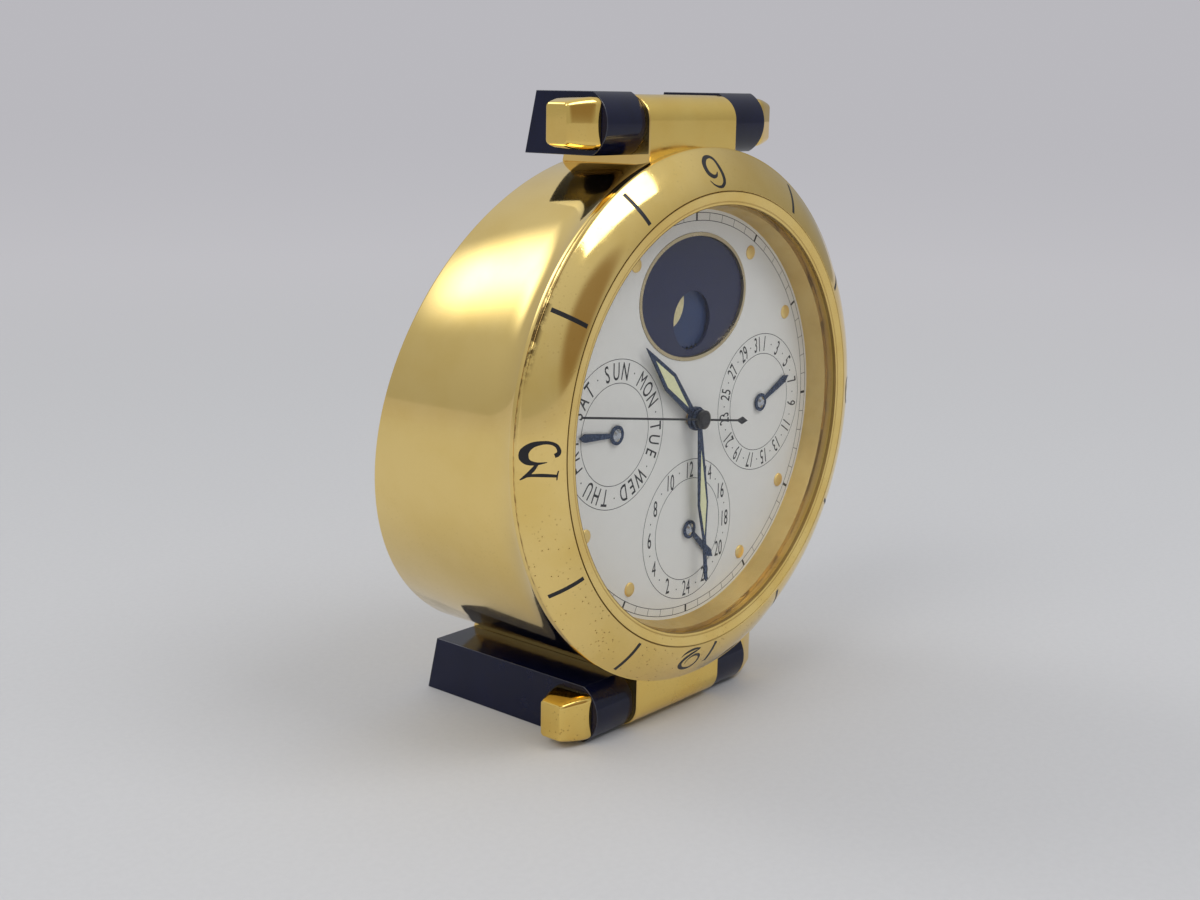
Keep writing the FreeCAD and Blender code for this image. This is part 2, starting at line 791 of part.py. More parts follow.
# Motion work: the cannon pinion drives the motion wheel, whose pinion drives both the
# hour wheel and the 24-hour wheel; the setting pinion drives the same motion wheel
motion_phase = meshed(0, cannon_count, centre, motion_wheel_count, motion_centre)
hour_phase = meshed(0, motion_pinion_count, motion_centre, hour_wheel_count, centre)
phase_24h = meshed(0, motion_pinion_count, motion_centre, wheel_24h_count, day24_centre)
setting_phase = meshed(motion_phase, motion_wheel_count, motion_centre, setting_pinion_count, setting_centre)

minute_rear = dial_depth - minute_hand_lift
minute_front = minute_rear - hand_thickness
hour_rear = dial_depth - hour_hand_lift
hour_front = hour_rear - hand_thickness
seconds_rear = dial_depth - seconds_hand_lift
seconds_front = seconds_rear - seconds_thickness

cannon = rod(centre, cannon_radius, minute_front, plate_rear - end_play)
pinion = toothed(centre, cannon_count, rear_module, outer_layer, outer_layer_rear, seconds_bore, 0)
cannon = cannon.fuse(pinion)
nodes["cannon_pinion"] = cannon.cut(rod(centre, seconds_bore + running_fit, -front_wall, 2 * plate_rear))
hour_tube = rod(centre, hour_tube_radius, hour_front, inner_layer_rear)
hour_wheel = toothed(
    centre, hour_wheel_count, front_module, inner_layer, inner_layer_rear, seconds_bore, hour_phase
)
hour_wheel = hour_wheel.fuse(hour_tube)
nodes["hour_wheel"] = hour_wheel.cut(rod(centre, hour_tube_bore, -front_wall, 2 * plate_rear))
motion_bore = motion_stud + running_fit
motion_wheel = toothed(
    motion_centre, motion_wheel_count, rear_module, outer_layer, outer_layer_rear, motion_bore, motion_phase
)
nodes["motion_wheel"] = motion_wheel.fuse(
    toothed(motion_centre, motion_pinion_count, front_module, inner_layer, outer_layer, motion_bore, 0)
)
nodes["wheel_24h"] = toothed(
    day24_centre, wheel_24h_count, front_module, inner_layer, inner_layer_rear, arbor_radius, phase_24h
)

# Hour, minute and seconds hands with luminous inserts
hour_blade = [
    (0, -hour_neck),
    (hour_shoulder_at, -hour_shoulder),
    (hour_tip, 0),
    (hour_shoulder_at, hour_shoulder),
    (0, hour_neck),
]
minute_blade = [
    (0, -minute_neck),
    (minute_shoulder_at, -minute_shoulder),
    (minute_waist_at, -minute_waist),
    (minute_tip - minute_point, -minute_waist),
    (minute_tip, 0),
    (minute_tip - minute_point, minute_waist),
    (minute_waist_at, minute_waist),
    (minute_shoulder_at, minute_shoulder),
    (0, minute_neck),
]


def window(start, middle, end, half, inset):
    """Lozenge-shaped opening in a hand, or its filling when inset by a gap."""
    return [(start + inset, 0), (middle, -half + inset), (end - inset, 0), (middle, half - inset)]


def lit_hand(blade, angle, front, rear, hub, tube, opening):
    """Blade with a hub on its tube and an opening, and the luminous filling of that opening."""
    body = sheet(place(centre, angle, blade), front, rear)
    body = body.fuse(rod(centre, hub, front - hub_extra, rear + hub_extra)).removeSplitter()
    body = body.cut(rod(centre, tube, -front_wall, front_wall))
    body = body.cut(sheet(place(centre, angle, window(*opening, 0)), front - cut_overrun, rear + cut_overrun))
    filling = sheet(place(centre, angle, window(*opening, lume_gap)), front, rear)
    return body, filling


nodes["hour_hand"], nodes["hour_hand_lume"] = lit_hand(
    hour_blade, hour_rest_angle, hour_front, hour_rear, hour_hub, hour_tube_radius,
    (hour_window_start, hour_shoulder_at, hour_window_end, hour_window_half),
)
nodes["minute_hand"], nodes["minute_hand_lume"] = lit_hand(
    minute_blade, minute_rest_angle, minute_front, minute_rear, minute_hub, cannon_radius,
    (minute_window_start, minute_shoulder_at, minute_window_end, minute_window_half),
)
seconds_blade = [
    (-seconds_weight_start, -seconds_half_width),
    (seconds_tip, -seconds_half_width),
    (seconds_tip, seconds_half_width),
    (-seconds_weight_start, seconds_half_width),
]
seconds_weight = [
    (-seconds_weight_start, -seconds_half_width),
    (-seconds_weight_start, seconds_half_width),
    (-seconds_weight_at, seconds_weight_half),
    (-seconds_tail, 0),
    (-seconds_weight_at, -seconds_weight_half),
]
seconds = sheet(place(centre, seconds_rest_angle, seconds_blade), seconds_front, seconds_rear)
seconds = seconds.fuse(sheet(place(centre, seconds_rest_angle, seconds_weight), seconds_front, seconds_rear))
cap_rear = seconds_rear + hub_extra
cap_front = cap_rear - seconds_cap_height
cap_edge = cap_front + seconds_cap_height / 3
seconds = seconds.fuse(rod(centre, seconds_cap, cap_edge, cap_rear))
seconds = seconds.fuse(dome(centre, seconds_cap, seconds_cap * 2 / 3, cap_front, cap_edge))
nodes["seconds_hand"] = seconds.cut(rod(centre, seconds_bore, seconds_front, front_wall)).removeSplitter()
socket_rear = plate_rear + centre_socket
nodes["seconds_arbor"] = rod(centre, seconds_bore, seconds_front, socket_rear)

# Main plate on the rear of the case's front wall, with posts for the moon disc and the motion wheel
plate = rod(centre, case_bore - cover_clearance, plate_front, plate_rear)
plate = plate.fuse(rod(moon_centre, moon_post, moon_disc_front, plate_front))
plate = plate.fuse(rod(motion_centre, motion_stud, inner_layer, plate_front))
corrector_places = {
    "corrector_day": (-corrector_side_share * case_bore, -corrector_low_share * case_bore),
    "corrector_date": (corrector_side_share * case_bore, -corrector_low_share * case_bore),
    "corrector_moon": (0, hatch_height + hatch_radius + corrector_moon_gap + corrector_radius),
}
plate_holes = [(point, screw_radius + fit_gap) for point in plate_screw_places]
plate_holes += [(point, arbor_radius + running_fit) for point in (day_centre, date_centre, day24_centre)]
plate_holes += [(centre, cannon_radius + running_fit), (setting_centre, stem_radius + running_fit)]
for point, radius in plate_holes:
    plate = plate.cut(rod(point, radius, dial_rear, 2 * plate_rear))
nodes["main_plate"] = plate

# Jumpers


def jumper(centre_point, tip_radius, side):
    """Leaf spring on a post, with a beak at the star wheel's tips on the left (-1) or right (1)."""
    beak_x = centre_point[0] + side * (tip_radius + jumper_gap)
    blade_x = beak_x + side * jumper_beak
    outer_x = blade_x + side * jumper_blade
    z = centre_point[1]
    reach = jumper_length if centre_point is not moon_centre else -jumper_length
    outline = [
        (beak_x, z),
        (blade_x, z - jumper_beak),
        (outer_x, z - jumper_beak),
        (outer_x, z + reach),
        (blade_x, z + reach),
        (blade_x, z + jumper_beak),
    ]
    if reach < 0:
        outline = [
            (beak_x, z),
            (blade_x, z + jumper_beak),
            (outer_x, z + jumper_beak),
            (outer_x, z + reach),
            (blade_x, z + reach),
            (blade_x, z - jumper_beak),
        ]
    blade = sheet(outline, inner_layer, inner_layer + jumper_thickness)
    post = rod(((blade_x + outer_x) / 2, z + reach), jumper_post, inner_layer, plate_front)
    return blade.fuse(post).removeSplitter()


nodes["calendar_jumpers"] = Part.makeCompound([
    jumper(day_centre, day_star_radius, -1),
    jumper(date_centre, date_star_radius, 1),
    jumper(moon_centre, moon_disc_radius, 1),
])

# Quartz movement on the plate's rear: moulded housing, circuit board, coil and crystal can
corner = housing_corner
x_edge = housing_half_width
housing_outline = [
    (-x_edge, -housing_low + corner), (-x_edge + corner, -housing_low),
    (x_edge - corner, -housing_low), (x_edge, -housing_low + corner),
    (x_edge, housing_high - corner), (x_edge - corner, housing_high),
    (-x_edge + corner, housing_high), (-x_edge, housing_high - corner),
]
housing = sheet(housing_outline, plate_rear, housing_rear)
nodes["movement_housing"] = housing.cut(rod(centre, seconds_bore + running_fit, 0, socket_rear + end_play))
board_outline = [
    (-x_edge + board_inset, -housing_low + board_inset), (x_edge - board_inset, -housing_low + board_inset),
    (x_edge - board_inset, housing_high - board_inset), (-x_edge + board_inset, housing_high - board_inset),
]
nodes["circuit_board"] = sheet(board_outline, housing_rear, board_rear)
coil_depth = board_rear + coil_radius
coil_z = -coil_height
coil = along_x(coil_radius, -coil_length / 2, coil_length / 2, coil_depth, coil_z)
for side in (-1, 1):
    block_x = side * coil_length / 2 - (coil_end if side < 0 else 0)
    block = Part.makeBox(
        coil_end, coil_radius + coil_core, 2 * coil_core,
        FreeCAD.Vector(block_x, board_rear, coil_z - coil_core),
    )
    coil = coil.fuse(block)
nodes["coil"] = coil.removeSplitter()
nodes["quartz_can"] = along_x(
    quartz_radius, -quartz_length / 2, quartz_length / 2, board_rear + quartz_radius, quartz_height
)
screws = []
for x, z in plate_screw_places:
    head = rod((x, z), screw_head_radius, plate_rear, plate_rear + screw_head_height)
    shank = rod((x, z), screw_radius, front_wall - screw_grip_length + fit_gap, plate_rear)
    screws.append(head.fuse(shank).removeSplitter())
nodes["movement_screws"] = Part.makeCompound(screws)

# Rear cover in the rebate of the barrel, flush with the leaning plane
cover = rod(centre, case_bore + cover_rebate - cover_clearance, 0, 2 * rear_low_depth)
cover = cover.common(behind_rear(-cover_thickness)).cut(behind_rear(0))
hatch_hole = Part.makeCylinder(hatch_radius + running_fit, cover_thickness + 2 * cut_overrun)
cover = cover.cut(on_rear(hatch_hole, 0, hatch_height, -cover_thickness - cut_overrun))
bush_radius = stem_radius + running_fit + bush_wall
cover = cover.cut(rod(setting_centre, bush_radius + fit_gap, 0, 2 * rear_low_depth))
for point in corrector_places.values():
    cover = cover.cut(rod(point, corrector_radius + running_fit, 0, 2 * rear_low_depth))
rear_screws = []
for x, z in boss_places:
    head = Part.makeCylinder(cover_screw_head_radius, cover_screw_head_height)
    shank_length = cover_screw_length - fit_gap
    shank = Part.makeCylinder(cover_screw_radius, shank_length, FreeCAD.Vector(0, 0, -shank_length))
    passage = Part.makeCylinder(cover_screw_radius + fit_gap, 2 * cover_thickness)
    slot = Part.makeBox(
        2 * cover_screw_head_radius + 2 * cut_overrun, slot_width, slot_depth + cut_overrun,
        FreeCAD.Vector(
            -cover_screw_head_radius - cut_overrun, -slot_width / 2, cover_screw_head_height - slot_depth
        ),
    )
    screw = head.fuse(shank).removeSplitter().cut(slot)
    rear_screws.append(on_rear(screw, x, z, 0))
    cover = cover.cut(on_rear(passage, x, z, -2 * cover_thickness + cover_clearance))
nodes["rear_cover"] = cover
nodes["rear_screws"] = Part.makeCompound(rear_screws)

# Battery under a coin-slot hatch, in a moulded well behind the cover
hatch = Part.makeCylinder(hatch_radius, cover_thickness, FreeCAD.Vector(0, 0, -cover_thickness))
hatch_slot = Part.makeBox(
    2 * hatch_radius * 2 / 3, hatch_slot_width, hatch_slot_depth + cut_overrun,
    FreeCAD.Vector(-hatch_radius * 2 / 3, -hatch_slot_width / 2, -hatch_slot_depth),
)
nodes["battery_hatch"] = on_rear(hatch.cut(hatch_slot), 0, hatch_height, 0)
well_bore = hatch_radius - well_wall / 2
well_side = 2 * (well_bore + well_wall)
well_top = -cover_thickness - end_play
well_corner = FreeCAD.Vector(-well_side / 2, -well_side / 2, well_top - well_depth)
well = Part.makeBox(well_side, well_side, well_depth, well_corner)
well_seat = FreeCAD.Vector(0, 0, well_top - well_depth + well_floor)
well = well.cut(Part.makeCylinder(well_bore, well_depth, well_seat))
nodes["battery_well"] = on_rear(well, 0, hatch_height, 0)
battery_top = well_top - battery_lead_gap
battery_radius = well_bore - battery_side_gap
battery_seat = FreeCAD.Vector(0, 0, battery_top - battery_thickness)
battery = Part.makeCylinder(battery_radius, battery_thickness, battery_seat)
nodes["battery"] = on_rear(battery, 0, hatch_height, 0)

# Leaf contact that leans from the well's floor to the battery
leaf_low = well_top - well_depth + well_floor
leaf_high = battery_top - battery_thickness
leaf_outline = [
    (-contact_half_length, leaf_low), (-contact_half_length, leaf_low + contact_thickness),
    (contact_half_length, leaf_high), (contact_half_length, leaf_high - contact_thickness),
]
leaf = sheet(leaf_outline, -contact_half_width, contact_half_width)
nodes["battery_contact"] = on_rear(leaf, 0, hatch_height, 0)

# Setting stem, its pinion and knob, and the bush that carries it in the cover
bush_rear = rear_depth(setting_z) + rear_lean_share * bush_radius + knob_standoff / 2
knob_front = rear_depth(setting_z - knob_radius) + knob_standoff
knob_rear = knob_front + knob_thickness
bush = rod(setting_centre, bush_radius, bush_rear - bush_height - cover_thickness, bush_rear)
nodes["setting_bush"] = bush.cut(rod(setting_centre, stem_radius + running_fit, 0, 2 * rear_low_depth))
stem = rod(setting_centre, stem_radius, outer_layer, knob_rear - knob_thickness / 2)
nodes["setting_stem"] = stem.fuse(
    toothed(
        setting_centre, setting_pinion_count, rear_module,
        outer_layer, outer_layer_rear, stem_radius, setting_phase,
    )
)
knob_outline = []
for k in range(2 * knob_flute_count):
    sx, sz = direction(k * 180.0 / knob_flute_count)
    radius = knob_radius - knob_flute * (k % 2)
    knob_outline.append((radius * sx, setting_z + radius * sz))
knob = sheet(knob_outline, knob_front, knob_rear)
nodes["setting_knob"] = knob.cut(rod(setting_centre, stem_radius, 0, knob_rear - knob_thickness / 2))

# Correctors: sprung pins pressed from the rear, guided in the cover and in the plate
for name, point in corrector_places.items():
    button_rear = rear_depth(point[1]) + rear_lean_share * corrector_radius + corrector_rise
    head = rod(point, corrector_radius, button_rear - corrector_head_length - corrector_rise, button_rear)
    pin_front = plate_rear + corrector_travel + end_play
    pin = rod(point, corrector_pin, pin_front, button_rear - corrector_head_length)
    nodes[name] = head.fuse(pin).removeSplitter()

# Set the clock down on its feet, with the origin under the middle of its bounding box
front_most = min(shape.BoundBox.YMin for shape in nodes.values())
rear_most = max(shape.BoundBox.YMax for shape in nodes.values())
to_floor = FreeCAD.Vector(0, -(front_most + rear_most) / 2, bar_outer)
os.makedirs("parts", exist_ok=True)
for name, shape in nodes.items():
    placed = shape.copy()
    placed.translate(to_floor)
    placed.exportStep("parts/" + name + ".step")
print("nodes", len(nodes), "axis height", bar_outer, "bezel seat", to_floor.y)
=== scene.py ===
"""Looks of the round gold desk clock: finishes, dial printing, enamelled bezel, camera and studio light."""
import bpy
import bmesh
import math
from mathutils import Matrix, Vector


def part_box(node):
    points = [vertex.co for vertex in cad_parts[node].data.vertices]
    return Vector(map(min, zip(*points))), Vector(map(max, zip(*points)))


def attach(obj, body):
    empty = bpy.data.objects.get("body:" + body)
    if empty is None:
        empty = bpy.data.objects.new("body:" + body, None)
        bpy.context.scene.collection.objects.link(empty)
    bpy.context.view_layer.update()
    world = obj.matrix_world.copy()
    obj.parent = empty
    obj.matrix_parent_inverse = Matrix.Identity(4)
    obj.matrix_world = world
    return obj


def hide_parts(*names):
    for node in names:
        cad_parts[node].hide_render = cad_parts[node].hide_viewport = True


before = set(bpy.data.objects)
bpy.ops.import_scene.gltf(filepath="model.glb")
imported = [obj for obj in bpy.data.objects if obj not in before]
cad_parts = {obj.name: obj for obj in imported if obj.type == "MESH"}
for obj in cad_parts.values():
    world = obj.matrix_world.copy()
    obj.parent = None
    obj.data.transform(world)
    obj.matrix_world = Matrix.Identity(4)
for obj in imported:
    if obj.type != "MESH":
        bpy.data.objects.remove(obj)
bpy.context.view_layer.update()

MM = 0.001
scene = bpy.context.scene
bezel_low, bezel_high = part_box("bezel")
SEAT = bezel_high[1] / MM                        # depth at which the bezel sits on the barrel
AXIS = (bezel_low[2] + bezel_high[2]) / 2 / MM   # height of the dial's axis

# Sizes in millimetres: radii about the dial's axis, depths back from the bezel's seat
LEAN, REAR_MID = 0.242, 29.2                     # rear plane: its slope, and its depth at the axis
OUT_R, IN_R = 42.0, 35.59                        # bezel: outer and inner radius
JOINT_R, CRYSTAL_R, RIM_R = 35.56, 34.0, 33.47   # crystal's rim: joint with the bezel, seat, opening
DIAL = 1.4                                       # face of the dial
LIFT = 0.012                                     # how far enamel and ink stand proud
MARKED_HOURS = (1, 2, 4, 5, 7, 8, 10, 11)        # hours with a stroke on the bezel and a dot on the dial


def at(x, depth, z):
    """Point in metres from millimetres about the dial's axis: depth is counted back from the bezel's seat."""
    return Vector((x * MM, (depth + SEAT) * MM, (z + AXIS) * MM))


def clock(angle):
    """Unit direction on the dial for a clockwise angle from the top."""
    return math.sin(math.radians(angle)), math.cos(math.radians(angle))


def around(cx, cz, radius, angle):
    """Point on a circle for a clockwise angle from the top."""
    sx, sz = clock(angle)
    return cx + radius * sx, cz + radius * sz


def rear(z):
    """Depth of the leaning rear plane at a height."""
    return REAR_MID - LEAN * z


# Node helpers

def shader(name):
    """New node material with its Principled shader."""
    mat = bpy.data.materials.new(name)
    mat.use_nodes = True
    return mat, mat.node_tree, mat.node_tree.nodes["Principled BSDF"]


def node(tree, kind, **inputs):
    """Adds a node and sets its unlinked inputs by name."""
    made = tree.nodes.new(kind)
    for key, value in inputs.items():
        made.inputs[key.replace("_", " ")].default_value = value
    return made


def coords(tree, stretch=(1, 1, 1)):
    """Object coordinates in millimetres, stretched along each axis."""
    source = tree.nodes.new("ShaderNodeTexCoord")
    scale = tree.nodes.new("ShaderNodeMapping")
    scale.inputs["Scale"].default_value = tuple(1000.0 * s for s in stretch)
    tree.links.new(source.outputs["Object"], scale.inputs["Vector"])
    return scale.outputs["Vector"]


def axes(tree, vector):
    """The x, y and z of a vector."""
    split = tree.nodes.new("ShaderNodeSeparateXYZ")
    tree.links.new(vector, split.inputs[0])
    return tuple(split.outputs)


def noise(tree, vector, scale, detail, rough=0.55):
    """Noise value between zero and one."""
    made = node(tree, "ShaderNodeTexNoise", Scale=scale, Detail=detail, Roughness=rough)
    tree.links.new(vector, made.inputs["Vector"])
    return made.outputs["Fac"]


def span(tree, value, a, b, low, high):
    """Maps a value smoothly from a..b to low..high, clamped."""
    made = tree.nodes.new("ShaderNodeMapRange")
    made.interpolation_type = "SMOOTHSTEP"
    for key, number in (("From Min", a), ("From Max", b), ("To Min", low), ("To Max", high)):
        made.inputs[key].default_value = number
    tree.links.new(value, made.inputs["Value"])
    return made.outputs["Result"]


def math_node(tree, kind, a, b=None):
    """Result of one maths node on numbers or sockets."""
    made = tree.nodes.new("ShaderNodeMath")
    made.operation = kind
    for slot, value in ((0, a), (1, b)):
        if value is None:
            continue
        if isinstance(value, (int, float)):
            made.inputs[slot].default_value = value
        else:
            tree.links.new(value, made.inputs[slot])
    return made.outputs[0]


def times(tree, a, b):
    """Product of two numbers or sockets."""
    return math_node(tree, "MULTIPLY", a, b)


def apart(tree, a, b):
    """Distance between two numbers or sockets."""
    return math_node(tree, "ABSOLUTE", math_node(tree, "SUBTRACT", a, b))


def vector_value(tree, kind, vector, other=None):
    """Number that a vector node gives, such as a length."""
    made = tree.nodes.new("ShaderNodeVectorMath")
    made.operation = kind
    tree.links.new(vector, made.inputs[0])
    if other is not None:
        made.inputs[1].default_value = other
    return made.outputs["Value"]


def mix(tree, factor, a, b):
    """Colour mix; a and b are colours or sockets."""
    made = tree.nodes.new("ShaderNodeMix")
    made.data_type = "RGBA"
    tree.links.new(factor, made.inputs[0])
    for slot, value in ((6, a), (7, b)):
        if isinstance(value, tuple):
            made.inputs[slot].default_value = value + (1.0,)
        else:
            tree.links.new(value, made.inputs[slot])
    return made.outputs[2]


def blend(tree, factor, first, second, output):
    """Mixes two shaders into an output's surface."""
    both = tree.nodes.new("ShaderNodeMixShader")
    tree.links.new(factor, both.inputs[0])
    tree.links.new(first.outputs[0], both.inputs[1])
    tree.links.new(second.outputs[0], both.inputs[2])
    tree.links.new(both.outputs[0], tree.nodes[output].inputs["Surface"])


def bump(tree, bsdf, height, strength):
    """Fine relief of up to a twentieth of a millimetre."""
    made = node(tree, "ShaderNodeBump", Strength=strength, Distance=0.00005)
    tree.links.new(height, made.inputs["Height"])
    tree.links.new(made.outputs["Normal"], bsdf.inputs["Normal"])


# Finishes

# The third tone paints a dark reflection on the bezel; the others are for pits, tarnish and grime in the
# grooves.
PIT, RUST, PAINTED_REFLECTION_TONE, GRIME = (0.42, 0.28, 0.09), (0.20, 0.10, 0.03), (0.10, 0.055, 0.02), (0.17, 0.09, 0.03)


def pitting(tree, here, z, amount):
    """Small pits in patches, mostly below the dial's axis."""
    cells = node(tree, "ShaderNodeTexVoronoi", Scale=1.25)
    tree.links.new(here, cells.inputs["Vector"])
    dots = span(tree, cells.outputs["Distance"], 0.10, 0.24, 1.0, 0.0)
    patch = span(tree, noise(tree, here, 0.16, 2), 0.38, 0.52, 0.0, 1.0)
    low = span(tree, z, AXIS - 4.0, AXIS - 16.0, 0.18, 1.0)
    return times(tree, times(tree, times(tree, dots, patch), low), amount)


def tarnish(tree, here, y, depth):
    """Ragged line round a seam at a depth."""
    near = span(tree, apart(tree, y, SEAT + depth), 0.05, 0.38, 1.0, 0.0)
    ragged = times(tree, span(tree, noise(tree, here, 0.8, 4), 0.35, 0.7, 0.0, 1.0), 0.9)
    return times(tree, near, ragged)


def scuffing(tree, here, x, y, z):
    """Ragged dark streak on the bezel's outer edge, at the upper left: a painted dark reflection."""
    edge = span(tree, y, SEAT - 1.25, SEAT - 0.55, 0.0, 1.0)
    left = span(tree, x, -27.0, -36.0, 0.0, 1.0)
    stretch = times(tree, span(tree, z, AXIS + 9.0, AXIS + 16.0, 0.0, 1.0),
                    span(tree, z, AXIS + 21.0, AXIS + 27.0, 1.0, 0.0))
    broken_streak = span(tree, noise(tree, here, 0.55, 5, 0.7), 0.44, 0.56, 0.0, 0.9)
    return times(tree, times(tree, edge, left), times(tree, stretch, broken_streak))


def groove(tree, x, z, radius):
    """Thin circle about the dial's axis."""
    rise = math_node(tree, "SUBTRACT", z, AXIS)
    reach = math_node(tree, "SQRT", math_node(tree, "ADD", times(tree, x, x), times(tree, rise, rise)))
    return span(tree, apart(tree, reach, radius), 0.06, 0.18, 1.0, 0.0)


def gold(name, rough, spots, light, deep, brushed=0.0, seam=None, painted_reflection_streak=False, grooves=()):
    """Yellow gold with clouds of a deeper tone and pits; each groove is a radius and how dark its line is."""
    mat, tree, bsdf = shader(name)
    bsdf.inputs["Metallic"].default_value = 1.0
    here = coords(tree)
    x, y, z = axes(tree, here)
    cloud = span(tree, noise(tree, here, 0.09, 4), 0.35, 0.7, 0.0, 1.0)
    pits = pitting(tree, here, z, spots)
    colour = mix(tree, pits, mix(tree, cloud, light, deep), PIT)
    if seam is not None:
        colour = mix(tree, tarnish(tree, here, y, seam), colour, RUST)
    # Painted reflection: a dark streak at the bezel's upper left stands in for a dark reflection.
    if painted_reflection_streak:
        colour = mix(tree, scuffing(tree, here, x, y, z), colour, PAINTED_REFLECTION_TONE)
    gloss = span(tree, noise(tree, here, 0.22, 5, 0.65), 0.35, 0.7, rough * 0.8, rough * 1.3)
    for radius, tone in grooves:
        line = groove(tree, x, z, radius)
        colour = mix(tree, times(tree, line, tone), colour, GRIME)
        gloss = math_node(tree, "ADD", gloss, times(tree, line, 0.4))
    gloss = math_node(tree, "ADD", gloss, times(tree, pits, 0.35))
    tree.links.new(colour, bsdf.inputs["Base Color"])
    tree.links.new(gloss, bsdf.inputs["Roughness"])
    if brushed:
        lines = noise(tree, coords(tree, (0.12, 6, 0.12)), 3.0, 5, 0.7)
        bump(tree, bsdf, times(tree, lines, brushed), 0.2)
    else:
        ripple = times(tree, noise(tree, here, 0.12, 2, 0.4), 1.2)
        bump(tree, bsdf, math_node(tree, "SUBTRACT", ripple, pits), 0.2)
    return mat


def plain(name, colour, rough, metal, shade, scale, coat=0.0, relief=0.05, shine=0.5):
    """Even finish with gentle cloudiness in colour and gloss."""
    mat, tree, bsdf = shader(name)
    here = coords(tree)
    cloud = span(tree, noise(tree, here, scale, 5, 0.6), 0.3, 0.7, 0.0, 1.0)
    darker = tuple(c * shade for c in colour)
    gloss = span(tree, noise(tree, here, scale * 3, 4), 0.3, 0.7, rough * 0.8, rough * 1.25)
    tree.links.new(mix(tree, cloud, colour, darker), bsdf.inputs["Base Color"])
    tree.links.new(gloss, bsdf.inputs["Roughness"])
    bsdf.inputs["Metallic"].default_value = metal
    bsdf.inputs["Specular IOR Level"].default_value = shine
    bsdf.inputs["Coat Weight"].default_value = coat
    bsdf.inputs["Coat Roughness"].default_value = 0.05
    bump(tree, bsdf, noise(tree, here, scale * 12, 3), relief)
    return mat


def pane(name):
    """Thin clear glass: reflects by angle and lets everything else through."""
    mat, tree, bsdf = shader(name)
    tree.nodes.remove(bsdf)
    clear = node(tree, "ShaderNodeBsdfTransparent", Color=(0.985, 0.99, 0.99, 1))
    shine = node(tree, "ShaderNodeBsdfGlossy", Color=(1, 1, 1, 1), Roughness=0.015)
    fresnel = node(tree, "ShaderNodeFresnel", IOR=1.4)
    facing = tree.nodes.new("ShaderNodeNewGeometry")
    outside = math_node(tree, "SUBTRACT", 1.0, facing.outputs["Backfacing"])
    dust = span(tree, noise(tree, coords(tree), 0.5, 6, 0.7), 0.45, 0.8, 0.0, 0.012)
    shining = math_node(tree, "ADD", times(tree, fresnel.outputs[0], 0.75), dust)
    blend(tree, times(tree, shining, outside), clear, shine, "Material Output")
    return mat


M = {
    "case": gold("gold_case", 0.075, 0.15, (0.94, 0.70, 0.26), (0.90, 0.655, 0.22), seam=0.0),
    # The bezel carries the painted dark reflection at its upper left.
    "bezel": gold("gold_bezel", 0.085, 0.9, (0.94, 0.70, 0.26), (0.89, 0.64, 0.205),
                  seam=-0.05, painted_reflection_streak=True, grooves=((JOINT_R, 0.5),)),
    "rim": gold("gold_rim", 0.13, 0.3, (0.90, 0.67, 0.24), (0.84, 0.59, 0.18),
                grooves=((JOINT_R, 0.5), (RIM_R, 0.75), (CRYSTAL_R, 0.3))),
    "block": gold("gold_block", 0.20, 0.25, (0.97, 0.71, 0.21), (0.94, 0.66, 0.175)),
    "flank": gold("gold_flank", 0.06, 0.0, (0.90, 0.64, 0.22), (0.86, 0.58, 0.18)),
    "cap": gold("gold_cap", 0.05, 0.7, (0.93, 0.67, 0.20), (0.88, 0.60, 0.16)),
    "wall": gold("gold_wall", 0.5, 0.0, (0.78, 0.58, 0.22), (0.70, 0.50, 0.17), brushed=0.2),
    "back": gold("gold_back", 0.20, 0.12, (0.88, 0.67, 0.28), (0.84, 0.625, 0.245), brushed=0.5),
    "dot": gold("gold_dot", 0.50, 0.0, (0.92, 0.70, 0.28), (0.88, 0.64, 0.24)),
    "ring": gold("gold_ring", 0.3, 0.0, (0.62, 0.52, 0.32), (0.52, 0.42, 0.25)),
    "moon": plain("moon_gold", (0.78, 0.68, 0.38), 0.42, 0.35, 0.88, 1.5),
    "navy": plain("navy_lacquer", (0.0040, 0.0062, 0.030), 0.14, 0.0, 0.75, 0.25, relief=0.0, shine=0.32),
    # The edge lacquer is lighter than the navy: a painted highlight along the bevels, whose clear coat also
    # catches real highlights.
    "edge": plain("lacquer_edge_highlight", (0.030, 0.034, 0.060), 0.2, 0.0, 0.5, 1.2, coat=0.3, relief=0.0),
    "dial": plain("dial_silver", (0.80, 0.785, 0.75), 0.42, 0.0, 0.975, 0.8, relief=0.03),
    "plate": plain("moon_plate_navy", (0.0105, 0.0165, 0.066), 0.33, 0.0, 0.85, 0.9, 0.15, 0.03, 0.3),
    "sky": plain("moon_disc_blue", (0.022, 0.045, 0.13), 0.4, 0.0, 0.85, 0.9, shine=0.38),
    "ink": plain("print_ink", (0.012, 0.012, 0.015), 0.5, 0.0, 0.8, 2.0),
    "mark": plain("bezel_enamel", (0.004, 0.004, 0.007), 0.4, 0.0, 0.6, 1.5, relief=0.0),
    "blued": plain("blued_steel", (0.028, 0.052, 0.115), 0.26, 0.55, 0.65, 0.9),
    "lume": plain("luminous_paint", (0.80, 0.79, 0.48), 0.7, 0.0, 0.9, 2.5, relief=0.15),
    "stud": plain("polished_steel", (0.50, 0.52, 0.56), 0.12, 1.0, 0.9, 1.5),
    "steel": plain("brushed_steel", (0.56, 0.56, 0.57), 0.34, 1.0, 0.85, 1.2),
    "brass": plain("turned_brass", (0.72, 0.53, 0.24), 0.30, 1.0, 0.85, 0.8),
    "plastic": plain("black_moulding", (0.02, 0.02, 0.022), 0.5, 0.0, 0.8, 1.0, relief=0.2),
    "board": plain("green_board", (0.02, 0.12, 0.05), 0.45, 0.0, 0.8, 1.0),
    "copper": plain("copper_winding", (0.66, 0.30, 0.14), 0.35, 1.0, 0.75, 4.0),
    "glass": pane("clear_glass"),
}

